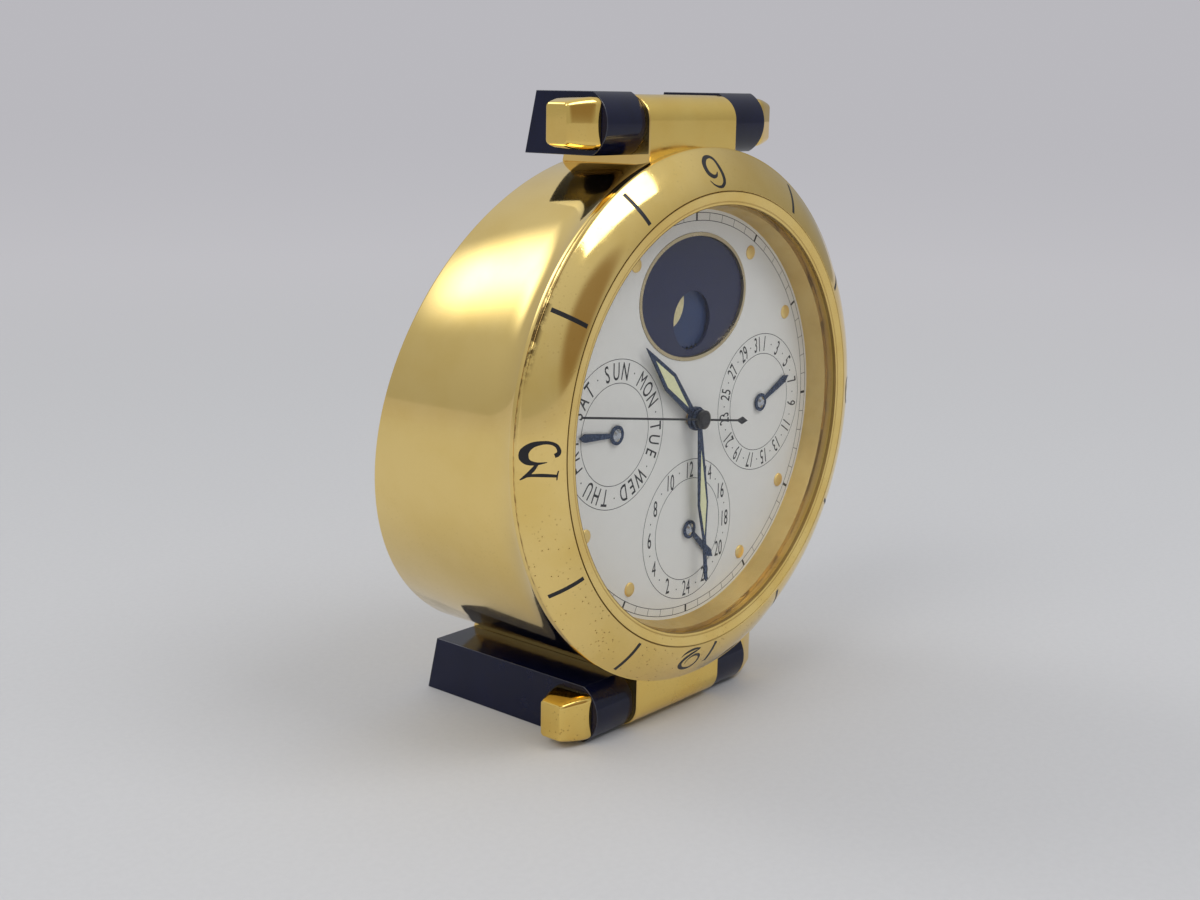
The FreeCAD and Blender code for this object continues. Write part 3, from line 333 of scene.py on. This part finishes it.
# CAD pieces of each finish; all others are brushed steel
LOOKS = {
    "case": "case_barrel",
    "block": "lug_block_upper lug_block_lower",
    "cap": "bar_caps setting_knob corrector_day corrector_date corrector_moon",
    "navy": "bar_upper_left bar_upper_right foot_lower_left foot_lower_right",
    "bezel": "bezel", "rim": "crystal_rim", "glass": "crystal", "wall": "inner_wall_ring", "dial": "dial",
    "ring": "moon_plate_ring", "plate": "moon_plate", "dot": "hour_dots", "sky": "moon_disc", "moon": "moons",
    "blued": "day_hand date_hand hand_24h hour_hand minute_hand",
    "mark": "seconds_hand",
    "lume": "hour_hand_lume minute_hand_lume",
    "stud": "day_arbor date_arbor arbor_24h quartz_can battery battery_contact",
    "plastic": "movement_housing battery_well",
    "board": "circuit_board",
    "copper": "coil",
    "brass": "hour_wheel motion_wheel wheel_24h main_plate setting_bush",
    "back": "rear_cover battery_hatch",
}
NODE_LOOKS = {name: look for look, names in LOOKS.items() for name in names.split()}
for name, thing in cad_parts.items():
    look = M[NODE_LOOKS.get(name, "steel")]
    for slot in thing.material_slots:
        slot.material = look


# Mesh helpers

def piece(name, verts, faces, look, body, smooth=32.0):
    """Mesh object from points in metres, shaded smooth below an angle, riding on a body."""
    mesh = bpy.data.meshes.new(name)
    mesh.from_pydata([tuple(v) for v in verts], [], faces)
    mesh.materials.append(look)
    bm = bmesh.new()
    bm.from_mesh(mesh)
    bmesh.ops.recalc_face_normals(bm, faces=bm.faces[:])
    bm.to_mesh(mesh)
    bm.free()
    if smooth:
        mesh.shade_smooth()
        mesh.set_sharp_from_angle(angle=math.radians(smooth))
    made = bpy.data.objects.new(name, mesh)
    scene.collection.objects.link(made)
    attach(made, body)
    return made


def lathe(outline, steps):
    """Closed ring about the dial's axis from (radius, depth, whether depth counts from the rear plane)."""
    verts, faces = [], []
    n = len(outline)
    for k in range(steps):
        sx, sz = clock(360.0 * k / steps)
        verts += [at(r * sx, d + (rear(r * sz) if leans else 0.0), r * sz) for r, d, leans in outline]
        a, b = k * n, (k + 1) % steps * n
        faces += [(a + i, a + (i + 1) % n, b + (i + 1) % n, b + i) for i in range(n)]
    return verts, faces


def skin(rows):
    """Faces over rings of vertex numbers, with a lid at each end."""
    faces = []
    for a, b in zip(rows, rows[1:]):
        n = len(a)
        faces += [(a[i], a[(i + 1) % n], b[(i + 1) % n], b[i]) for i in range(n)]
    return faces + [tuple(rows[0]), tuple(rows[-1])]


# Bezel: smooth convex slope, rounded at both edges

EDGE, TOP, BULGE, BEZEL_FRONT = 0.5, 4.3, 0.55, -4.28             # slope: foot, top, bulge, front limit
LIP_R, LIP_FRONT, LIP_REAR, BORE_R = 35.12, -3.47, -2.78, 36.66   # lip under the crystal's rim, bore
SLOPE_OUT, SLOPE_IN, SLOPE_STEPS = OUT_R - 0.18, IN_R + 0.12, 24


def slope_depth(r):
    """Depth of the bezel's sloping face at a radius."""
    t = (OUT_R - r) / (OUT_R - IN_R)
    return -(EDGE + (TOP - EDGE) * t) - 4.0 * BULGE * t * (1.0 - t)


bezel_outline = [(OUT_R - 0.10, -0.02), (OUT_R - 0.01, -0.08), (OUT_R, -0.16), (OUT_R, -EDGE + 0.02),
                 (OUT_R - 0.05, -EDGE - 0.12)]
for k in range(SLOPE_STEPS + 1):
    r = SLOPE_OUT + (SLOPE_IN - SLOPE_OUT) * k / SLOPE_STEPS
    bezel_outline.append((r, max(slope_depth(r), BEZEL_FRONT)))
bezel_outline += [(IN_R + 0.03, -4.2), (IN_R, -4.1), (IN_R, LIP_FRONT), (LIP_R, LIP_FRONT),
                  (LIP_R, LIP_REAR), (BORE_R, LIP_REAR), (BORE_R, -0.02)]
verts, faces = lathe([(r, d, False) for r, d in bezel_outline], 360)
bezel_piece = piece("bezel_turned", verts, faces, M["bezel"], "turning_bezel")
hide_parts("bezel")


# Barrel: gentle flare towards the bezel, rear edge on the leaning plane

CASE_R, FLANGE_R, FLARE, FLARE_STEPS = 40.85, 41.8, 5.2, 14
THROAT_R, THROAT_REAR, WALL_R = 36.9, 3.0, 37.65   # opening behind the bezel, its rear, and the wall's inside
COVER_R, COVER_DEPTH = 38.65, -1.6                 # recess that takes the rear cover
front_part = [(THROAT_R, 0.12), (FLANGE_R - 0.25, 0.12), (FLANGE_R - 0.04, 0.22), (FLANGE_R, 0.42),
              (FLANGE_R, 0.88)]
for k in range(FLARE_STEPS + 1):
    t = k / FLARE_STEPS
    front_part.append((CASE_R + (FLANGE_R - 0.06 - CASE_R) * (1.0 - t) ** 2.2, 1.0 + FLARE * t))
rear_part = [(CASE_R, -0.5), (CASE_R - 0.12, -0.16), (CASE_R - 0.42, 0.0), (COVER_R, 0.0),
             (COVER_R, COVER_DEPTH), (WALL_R, COVER_DEPTH)]
inner_part = [(WALL_R, THROAT_REAR), (THROAT_R, THROAT_REAR)]
barrel_outline = [(r, d, part is rear_part) for part in (front_part, rear_part, inner_part) for r, d in part]
verts, faces = lathe(barrel_outline, 300)
barrel = piece("barrel_turned", verts, faces, M["case"], "case")
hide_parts("case_barrel")


# Enamelled marks on the bezel: strokes of varying width laid onto the slope

CURVE_STEPS, ACROSS = 10, 3


def between(a, b, c, d, t):
    """Value on a smooth curve from b to c, whose neighbours are a and d."""
    return 0.5 * (2 * b + (c - a) * t + (2 * a - 5 * b + 4 * c - d) * t * t
                  + (3 * b - a - 3 * c + d) * t ** 3)


def stroke(path, widths):
    """Both edges of a pen stroke along a smooth curve through points, with a width at each point."""
    dense, wide = [], []
    n = len(path)
    for i in range(n - 1):
        p0, p1, p2, p3 = path[max(i - 1, 0)], path[i], path[i + 1], path[min(i + 2, n - 1)]
        for s in range(CURVE_STEPS):
            t = s / CURVE_STEPS
            dense.append(tuple(between(a, b, c, d, t) for a, b, c, d in zip(p0, p1, p2, p3)))
            wide.append(widths[i] + (widths[i + 1] - widths[i]) * t)
    dense.append(path[-1])
    wide.append(widths[-1])
    left, right = [], []
    for i, (u, v) in enumerate(dense):
        a, b = dense[max(i - 1, 0)], dense[min(i + 1, len(dense) - 1)]
        du, dv = b[0] - a[0], b[1] - a[1]
        size = math.hypot(du, dv) or 1.0
        w = wide[i] / 2
        left.append((u - dv / size * w, v + du / size * w))
        right.append((u + dv / size * w, v - du / size * w))
    return left, right


def radial_stroke(angle, radii, width):
    """Both edges of a straight stroke that points to the dial's axis."""
    sx, sz = clock(angle)
    w = width / 2
    return ([(r * sx - w * sz, r * sz + w * sx) for r in radii],
            [(r * sx + w * sz, r * sz - w * sx) for r in radii])


# Strokes of the numerals in millimetres, (right, up) from each numeral's place, with the pen's width
SIX = [([(1.23, 0.37), (1.75, 0.92), (2.6, 1.0), (3.45, 0.4), (3.54, -0.7), (2.75, -1.55), (1.6, -1.8),
         (0.75, -1.4), (0.35, -0.4), (0.12, 0.85), (0.28, 1.85), (0.95, 2.45), (1.8, 2.55), (2.85, 2.22),
         (3.65, 1.6)],
        [0.12, 0.42, 0.62, 0.80, 0.82, 0.62, 0.45, 0.5, 0.62, 0.66, 0.62, 0.5, 0.36, 0.24, 0.10])]
NINE = [([(1.9 - u, 0.37 - v) for u, v in SIX[0][0]], SIX[0][1])]
THREE = [([(-1.38, -0.72), (-1.86, -0.92), (-2.02, -1.35), (-1.7, -2.05), (-1.0, -2.5), (0.04, -2.66),
           (1.35, -2.4), (2.2, -1.6), (2.3, -0.65), (1.85, 0.0), (0.86, 0.25), (-0.4, 0.13)],
          [0.62, 0.68, 0.62, 0.52, 0.46, 0.5, 0.78, 1.05, 1.08, 0.8, 0.42, 0.08]),
         ([(0.75, 0.2), (1.3, 1.05), (1.95, 1.85), (2.7, 2.5)], [0.3, 0.55, 0.5, 0.12]),
         ([(2.35, 2.05), (1.4, 1.9), (0.25, 1.95), (-0.9, 2.08), (-1.75, 2.2)], [0.3, 0.42, 0.5, 0.46, 0.4]),
         ([(-1.95, 1.45), (-1.8, 2.1), (-1.75, 2.8)], [0.16, 0.24, 0.16])]
ONE = [([(-1.15, -2.75), (-0.8, -1.2), (-0.45, 0.55)], [0.7, 0.68, 0.72]),
       ([(-0.75, 0.75), (-0.2, 0.6), (0.3, 0.75)], [0.12, 0.2, 0.12])]
TWO = [([(3.0, -2.55), (4.0, -2.3), (5.2, -1.95), (6.3, -1.35), (6.65, -0.45), (5.55, 0.5), (3.75, 0.9),
         (2.6, 0.4), (2.3, -0.55), (2.65, -1.3), (3.7, -1.6), (4.7, -1.45), (5.3, -0.95), (5.45, -0.35)],
        [0.12, 0.40, 0.55, 0.72, 0.80, 0.52, 0.42, 0.48, 0.5, 0.5, 0.42, 0.3, 0.2, 0.12]),
       ([(2.9, -2.65), (4.2, -2.85), (5.4, -2.8), (6.6, -2.5), (7.2, -2.05)], [0.2, 0.42, 0.5, 0.36, 0.1])]


def on_slope(strips):
    """Faces for strips of (x, z) point pairs laid onto the bezel's slope."""
    verts, faces = [], []
    for left, right in strips:
        start = len(verts)
        for (xa, za), (xb, zb) in zip(left, right):
            for s in range(ACROSS + 1):
                x, z = xa + (xb - xa) * s / ACROSS, za + (zb - za) * s / ACROSS
                r = min(max(math.hypot(x, z), IN_R + 0.1), OUT_R - 0.1)
                verts.append(at(x, slope_depth(r) - LIFT, z))
        for i in range(len(left) - 1):
            for s in range(ACROSS):
                a = start + (ACROSS + 1) * i + s
                faces.append((a, a + 1, a + ACROSS + 2, a + ACROSS + 1))
    return verts, faces


MARK_IN, MARK_LENGTH, MARK_WIDTH, MARK_STEPS, NUMERAL_R = 36.35, 4.95, 0.68, 12, 38.85
mark_radii = [MARK_IN + MARK_LENGTH * k / MARK_STEPS for k in range(MARK_STEPS + 1)]
strips = [radial_stroke(hour * 30.0, mark_radii, MARK_WIDTH) for hour in MARKED_HOURS]
for numeral, angle in ((ONE, 180.0), (TWO, 180.0), (THREE, 270.0), (SIX, 0.0), (NINE, 90.0)):
    x, z = around(0.0, 0.0, NUMERAL_R, angle)
    for path, widths in numeral:
        strips.append(tuple([(x - u, z - v) for u, v in edge] for edge in stroke(path, widths)))
verts, faces = on_slope(strips)
piece("bezel_marks", verts, faces, M["mark"], "turning_bezel", smooth=0)


# Dial printing: rings, ticks and plain numerals as thin ink on the dial

FINE, INK_DOT = 0.10, 0.13                         # width of the circles, radius of the dots
TRACK_OUT, TRACK_IN = 32.05, 30.85                 # minute track
SIDE, LOWER, SUB_R = 18.5, 18.2, 11.4              # centres and outer radius of the sub-dials
DAY_IN, DATE_IN, HOUR_IN = 7.8, 8.1, 8.3           # inner circles of the sub-dials
TEXT_R, DAY_TEXT_R, HOUR_DOT_R = 9.75, 9.6, 9.9
DAY_TALL, DATE_TALL, HOUR_TALL = 2.6, 2.45, 2.55   # heights of the lettering
DAY_NARROW, DATE_NARROW, HOUR_NARROW = 0.62, 0.55, 0.56
DAY_PITCH = 12.6                                   # degrees between the letters of a weekday
DAYS = ("SUN", "MON", "TUE", "WED", "THU", "FRI", "SAT")
DATES, EVEN_HOURS = 31, 12
ink_verts, ink_faces = [], []


def ink_strip(points_a, points_b, closed=False):
    """Ink between two rows of points."""
    start = len(ink_verts)
    for (xa, za), (xb, zb) in zip(points_a, points_b):
        ink_verts.append(at(xa, DIAL - LIFT, za))
        ink_verts.append(at(xb, DIAL - LIFT, zb))
    n = len(points_a)
    for i in range(n if closed else n - 1):
        a, b = start + 2 * i, start + 2 * ((i + 1) % n)
        ink_faces.append((a, a + 1, b + 1, b))


def ink_circle(cx, cz, radius, steps=96):
    """Fine circle."""
    edges = [[around(cx, cz, r, 360.0 * k / steps) for k in range(steps)]
             for r in (radius - FINE / 2, radius + FINE / 2)]
    ink_strip(*edges, closed=True)


def ink_dot(x, z):
    """Round dot between two words."""
    start = len(ink_verts)
    for k in range(12):
        px, pz = around(x, z, INK_DOT, 30.0 * k)
        ink_verts.append(at(px, DIAL - LIFT, pz))
    ink_faces.append(tuple(range(start, start + 12)))


text_cache = {}


def letters(text):
    """Flat outline of a word in the built-in font, as points and faces, one high and centred."""
    if text not in text_cache:
        curve = bpy.data.curves.new("word", "FONT")
        curve.body = text
        curve.resolution_u = 3
        curve.space_character = 1.04
        curve.offset = 0.0 if "M" in text or "4" in text else 0.006   # heavier strokes spoil these two
        curve.align_x = "CENTER"
        made = bpy.data.objects.new("word", curve)
        scene.collection.objects.link(made)
        bpy.context.view_layer.update()
        graph = bpy.context.evaluated_depsgraph_get()
        mesh = bpy.data.meshes.new_from_object(made.evaluated_get(graph))
        points = [(v.co.x, v.co.y) for v in mesh.vertices]
        top = max(p[1] for p in points)
        points = [(x / top, y / top - 0.5) for x, y in points]
        text_cache[text] = (points, [tuple(p.vertices) for p in mesh.polygons])
        bpy.data.objects.remove(made)
        bpy.data.meshes.remove(mesh)
        bpy.data.curves.remove(curve)
    return text_cache[text]


def ink_text(text, place, height, turn, narrow):
    """Word centred on a point, turned clockwise, with its height in millimetres."""
    points, polys = letters(text)
    s, c = clock(turn)
    start = len(ink_verts)
    for u, v in points:
        u, v = u * height * narrow, v * height
        ink_verts.append(at(place[0] + u * c + v * s, DIAL - LIFT, place[1] + v * c - u * s))
    ink_faces.extend(tuple(start + i for i in poly) for poly in polys)


ink_circle(0, 0, TRACK_OUT, 240)
ink_circle(0, 0, TRACK_IN, 240)
for minute in range(60):
    if minute % 5:
        ink_strip(*radial_stroke(minute * 6.0, (TRACK_IN, TRACK_OUT), 0.09))
    else:
        ink_strip(*radial_stroke(minute * 6.0, (TRACK_IN - 0.05, TRACK_OUT + 0.05), 0.42))

for cx, cz, inner in ((-SIDE, 0.0, DAY_IN), (SIDE, 0.0, DATE_IN), (0.0, -LOWER, HOUR_IN)):
    ink_circle(cx, cz, SUB_R)
    ink_circle(cx, cz, inner)
for k, day in enumerate(DAYS):
    angle = k * 360.0 / len(DAYS)
    for i, letter in enumerate(day):
        turn = angle + DAY_PITCH * (i - 1)
        ink_text(letter, around(-SIDE, 0.0, DAY_TEXT_R, turn), DAY_TALL, turn, DAY_NARROW)
    ink_dot(*around(-SIDE, 0.0, TEXT_R, angle + 180.0 / len(DAYS)))
for k in range(DATES):
    angle = (k + 0.5) * 360.0 / DATES
    place = around(SIDE, 0.0, TEXT_R, angle)
    if k % 2 == 0:
        ink_text(str(k + 1), place, DATE_TALL, angle, DATE_NARROW)
    else:
        ink_dot(*place)
for k in range(EVEN_HOURS):
    hour = (12 + 2 * k - 1) % 24 + 1
    ink_text(str(hour), around(0.0, -LOWER, TEXT_R, k * 30.0), HOUR_TALL, 0.0, HOUR_NARROW)
    ink_dot(*around(0.0, -LOWER, HOUR_DOT_R, k * 30.0 + 15.0))
piece("dial_print", ink_verts, ink_faces, M["ink"], "case", smooth=0)


# Bars and feet: lacquered, with a painted highlight of lighter lacquer on the fine bevelled edges

def bevelled(name, outline, x0, x1, width, mats, body):
    """Prism along X from a (depth, z) outline, with its sharp edges bevelled in a second finish."""
    mesh = bpy.data.meshes.new(name)
    bm = bmesh.new()
    ends = []
    for x in (x0, x1):
        ends.append([bm.verts.new(at(x, d, z)) for d, z in outline])
    n = len(outline)
    for i in range(n):
        j = (i + 1) % n
        bm.faces.new((ends[0][i], ends[0][j], ends[1][j], ends[1][i]))
    bm.faces.new(ends[0])
    bm.faces.new(ends[1][::-1])
    bmesh.ops.recalc_face_normals(bm, faces=bm.faces[:])
    sharp = [e for e in bm.edges if e.calc_face_angle(0.0) > math.radians(24)]
    bmesh.ops.bevel(bm, geom=sharp, offset=width * MM, segments=3, profile=0.5, affect="EDGES", material=1)
    bm.to_mesh(mesh)
    bm.free()
    for m in mats:
        mesh.materials.append(m)
    mesh.shade_smooth()
    mesh.set_sharp_from_angle(angle=math.radians(40))
    made = bpy.data.objects.new(name, mesh)
    scene.collection.objects.link(made)
    flat = made.modifiers.new("flat_faces", "WEIGHTED_NORMAL")
    flat.weight = 100
    flat.keep_sharp = True
    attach(made, body)
    return made


BAR_LOW, BAR_HIGH, BAR_IN, BAR_OUT = 40.79, 49.99, 10.82, 19.5   # heights, and distances from mid width
BAR_FRONT, NOSE, NOSE_STEPS, BAR_BEVEL = 3.1, 2.9, 32, 0.10      # NOSE: how far the round front bows out
BAR_MID = (BAR_LOW + BAR_HIGH) / 2
half = (BAR_HIGH - BAR_LOW) / 2
nose_r = (half ** 2 + NOSE ** 2) / (2 * NOSE)
nose_angle = math.degrees(math.asin(half / nose_r))
for side, row in ((1, "bar_upper"), (-1, "foot_lower")):
    outline = []
    for k in range(NOSE_STEPS + 1):
        a = math.radians(-nose_angle + 2 * nose_angle * k / NOSE_STEPS)
        outline.append((BAR_FRONT + nose_r - nose_r * math.cos(a), side * (BAR_MID + nose_r * math.sin(a))))
    outline += [(rear(side * BAR_HIGH), side * BAR_HIGH), (rear(side * BAR_LOW), side * BAR_LOW)]
    for name, x0, x1 in ((row + "_right", BAR_IN, BAR_OUT), (row + "_left", -BAR_OUT, -BAR_IN)):
        # The bevels take the lighter edge lacquer, a painted highlight along the edges.
        finish = [M["navy"], M["edge"]]
        made = bevelled(name + "_lacquer", outline, x0, x1, BAR_BEVEL, finish, "case")
        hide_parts(name)


# Blocks: satin fronts with polished flanks

BLOCK_FRONT, BLOCK_ROUND, BLOCK_IN, BLOCK_OUT = 2.3, 3.8, 39.3, 49.59
BLOCK_HALF, BLOCK_BEVEL, BLOCK_STEPS = 10.79, 0.2, 12
for up, name in ((1, "lug_block_upper"), (-1, "lug_block_lower")):
    outline = [(BLOCK_FRONT, up * BLOCK_IN)]
    for k in range(BLOCK_STEPS + 1):
        a = math.radians(90.0 * k / BLOCK_STEPS)
        outline.append((BLOCK_FRONT + BLOCK_ROUND * (1 - math.cos(a)),
                        up * (BLOCK_OUT - BLOCK_ROUND * (1 - math.sin(a)))))
    outline += [(rear(up * BLOCK_OUT), up * BLOCK_OUT), (rear(up * BLOCK_IN), up * BLOCK_IN)]
    finish = [M["block"], M["flank"]]
    made = bevelled(name + "_dressed", outline, -BLOCK_HALF, BLOCK_HALF, BLOCK_BEVEL, finish, "case")
    for face in made.data.polygons:
        if abs(face.normal.x) > 0.9:
            face.material_index = 1
    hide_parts(name)


# Caps: faceted gold ends with rounded corners

def rounded_section(deep, tall, corner):
    """Closed oblong outline with rounded corners, as (depth, height) offsets."""
    y, z = deep / 2 - corner, tall / 2 - corner
    points = []
    for k, (cy, cz) in enumerate(((y, z), (-y, z), (-y, -z), (y, -z))):
        for s in range(CORNER_STEPS + 1):
            a = math.radians(90.0 * k + 90.0 * s / CORNER_STEPS)
            points.append((cy + corner * math.cos(a), cz + corner * math.sin(a)))
    return points


CAP_DEPTH, CORNER_STEPS = 8.0, 6
# Sections of a cap: distance from the bar's end, depth, height, corner radius
CAP_ROWS = [(0.0, 7.4, 7.4, 1.1), (0.14, 7.6, 7.6, 1.2), (0.5, 7.65, 7.65, 1.25), (1.3, 7.35, 7.55, 1.25),
            (2.2, 6.75, 7.35, 1.2), (3.1, 6.05, 7.1, 1.1), (4.0, 5.35, 6.75, 1.0), (4.7, 4.8, 6.4, 0.85),
            (5.2, 4.4, 6.05, 0.7), (5.4, 4.15, 5.8, 0.6), (5.5, 3.8, 5.45, 0.5)]
verts, faces = [], []
for sign in (-1, 1):
    for up in (-1, 1):
        rows = []
        for out, deep, tall, corner in CAP_ROWS:
            section = rounded_section(deep, tall, corner)
            rows.append(range(len(verts), len(verts) + len(section)))
            verts += [at(sign * (BAR_OUT + out), CAP_DEPTH + dy, up * BAR_MID + dz) for dy, dz in section]
        faces += skin(rows)
caps = piece("cap_castings", verts, faces, M["cap"], "case", smooth=22.0)
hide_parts("bar_caps")


# Hour dots: low domes

DOT_CIRCLE, DOME_STEPS = 28.9, 28
DOME = ((1.12, 0.0), (1.12, 0.12), (1.02, 0.22), (0.74, 0.30), (0.36, 0.34))   # radius, height on the dial
verts, faces = [], []
for hour in MARKED_HOURS:
    cx, cz = around(0.0, 0.0, DOT_CIRCLE, hour * 30.0)
    rows = []
    for radius, height in DOME:
        rows.append(range(len(verts), len(verts) + DOME_STEPS))
        for k in range(DOME_STEPS):
            x, z = around(cx, cz, radius, 360.0 * k / DOME_STEPS)
            verts.append(at(x, DIAL - height, z))
    faces += skin(rows)
dots = piece("hour_dot_domes", verts, faces, M["dot"], "case", smooth=60.0)
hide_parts("hour_dots")


# Floor of pale paper that fades into the backdrop, for the camera and in reflections

FLOOR_RADIUS, FADE_START, FADE_END = 6.0, 0.16, 0.75
GLOW_NEAR, BACKDROP = (0.552, 0.547, 0.572), (0.487, 0.481, 0.511)
bpy.ops.mesh.primitive_circle_add(vertices=96, radius=FLOOR_RADIUS, fill_type="NGON", location=(0, 0, 0))
floor = bpy.context.object
floor.name = "floor"
mat, tree, bsdf = shader("floor_paper")
bsdf.inputs["Roughness"].default_value = 0.7
bsdf.inputs["Specular IOR Level"].default_value = 0.2
here = tree.nodes.new("ShaderNodeTexCoord").outputs["Object"]
paper = span(tree, noise(tree, here, 900.0, 4), 0.3, 0.7, 0.0, 1.0)
tree.links.new(mix(tree, paper, (0.598, 0.598, 0.613), (0.584, 0.584, 0.599)), bsdf.inputs["Base Color"])
length = vector_value(tree, "LENGTH", here)
fade = span(tree, length, FADE_START, FADE_END, 0.0, 1.0)
glow = node(tree, "ShaderNodeEmission", Strength=1.0)
near = math_node(tree, "DIVIDE", 1.0, math_node(tree, "ADD", length, 0.25))
far = span(tree, near, 0.16, 1.7, 1.0, 0.0)
tree.links.new(mix(tree, far, GLOW_NEAR, BACKDROP), glow.inputs["Color"])
ray = tree.nodes.new("ShaderNodeLightPath")
shown = math_node(tree, "MAXIMUM", ray.outputs["Is Camera Ray"], ray.outputs["Is Glossy Ray"])
blend(tree, times(tree, fade, shown), bsdf, glow, "Material Output")
floor.data.materials.append(mat)


# Room in the reflections: lighter overhead, brown in front, dimmer to the right, bright high up behind

WALLS, CEILING, BROWN, DIM = (0.41, 0.41, 0.41), (0.62, 0.63, 0.65), (0.22, 0.15, 0.08), (0.24, 0.235, 0.22)
BROWN_WAY = (0.14, -0.96, 0.24)
BAND = (3.5, 3.55, 3.5)
BAND_LOW, BAND_HIGH = (math.radians(30), math.radians(66)), (math.radians(68), math.radians(98))
world = bpy.data.worlds.new("studio")
scene.world = world
world.use_nodes = True
tree = world.node_tree
direction = tree.nodes.new("ShaderNodeTexCoord").outputs["Generated"]
x, y, z = axes(tree, direction)
room = mix(tree, span(tree, z, -0.05, 0.85, 0.0, 1.0), WALLS, CEILING)
ahead = vector_value(tree, "DOT_PRODUCT", direction, BROWN_WAY)
room = mix(tree, span(tree, ahead, 0.945, 0.985, 0.0, 0.8), room, BROWN)
room = mix(tree, span(tree, x, 0.60, 1.0, 0.0, 0.60), room, DIM)
rise = math_node(tree, "ARCTAN2", z, times(tree, x, -1.0))
low_edge = span(tree, rise, *BAND_LOW, 0.0, 1.0)
band = times(tree, times(tree, low_edge, low_edge), span(tree, rise, *BAND_HIGH, 1.0, 0.0))
ends = times(tree, span(tree, y, 0.50, 0.62, 0.0, 1.0), span(tree, y, 0.80, 0.92, 1.0, 0.0))
room = mix(tree, times(tree, band, ends), room, BAND)
ambient = tree.nodes["Background"]
ambient.inputs["Strength"].default_value = 1.0
tree.links.new(room, ambient.inputs["Color"])
backdrop = node(tree, "ShaderNodeBackground", Strength=1.0, Color=BACKDROP + (1.0,))
ray = tree.nodes.new("ShaderNodeLightPath")
blend(tree, ray.outputs["Is Camera Ray"], ambient, backdrop, "World Output")


# Lamps

LAMP_TARGET = (0, 0, 0.06)


def lamp(name, place, size, power, colour):
    """Oblong lamp aimed at the clock."""
    data = bpy.data.lights.new(name, "AREA")
    data.shape = "RECTANGLE"
    data.size, data.size_y = size
    data.energy = power
    data.color = colour
    made = bpy.data.objects.new(name, data)
    scene.collection.objects.link(made)
    made.location = place
    made.rotation_euler = (Vector(LAMP_TARGET) - Vector(place)).to_track_quat("-Z", "Y").to_euler()


lamp("key", (-0.85, -0.10, 0.75), (0.55, 0.40), 2.6, (1.0, 0.99, 0.97))
lamp("window", (0.20, -0.69, 1.00), (0.70, 0.46), 3.8, (0.99, 0.995, 1.0))


# Camera at the photograph's place

PHOTO_WIDTH, FOCAL, SENSOR = 1200.0, 1596.0, 36.0   # width and focal length in pixels, sensor in millimetres
YAW, PITCH, ROLL = 0.864, -0.222, 0.017
data = bpy.data.cameras.new("photo_camera")
data.sensor_fit = "HORIZONTAL"
data.sensor_width = SENSOR
data.lens = FOCAL / PHOTO_WIDTH * SENSOR
data.clip_start = 0.01
camera = bpy.data.objects.new("photo_camera", data)
scene.collection.objects.link(camera)
forward = Vector((math.cos(PITCH) * math.sin(YAW), math.cos(PITCH) * math.cos(YAW), math.sin(PITCH)))
level_right = Vector((math.cos(YAW), -math.sin(YAW), 0.0))
level_up = level_right.cross(forward)
right = level_right * math.cos(ROLL) + level_up * math.sin(ROLL)
up = level_up * math.cos(ROLL) - level_right * math.sin(ROLL)
turn = Matrix((right, up, -forward)).transposed().to_4x4()
camera.matrix_world = Matrix.Translation(at(-196.87, -147.98, 50.18)) @ turn
scene.camera = camera
scene.view_settings.view_transform = "Standard"
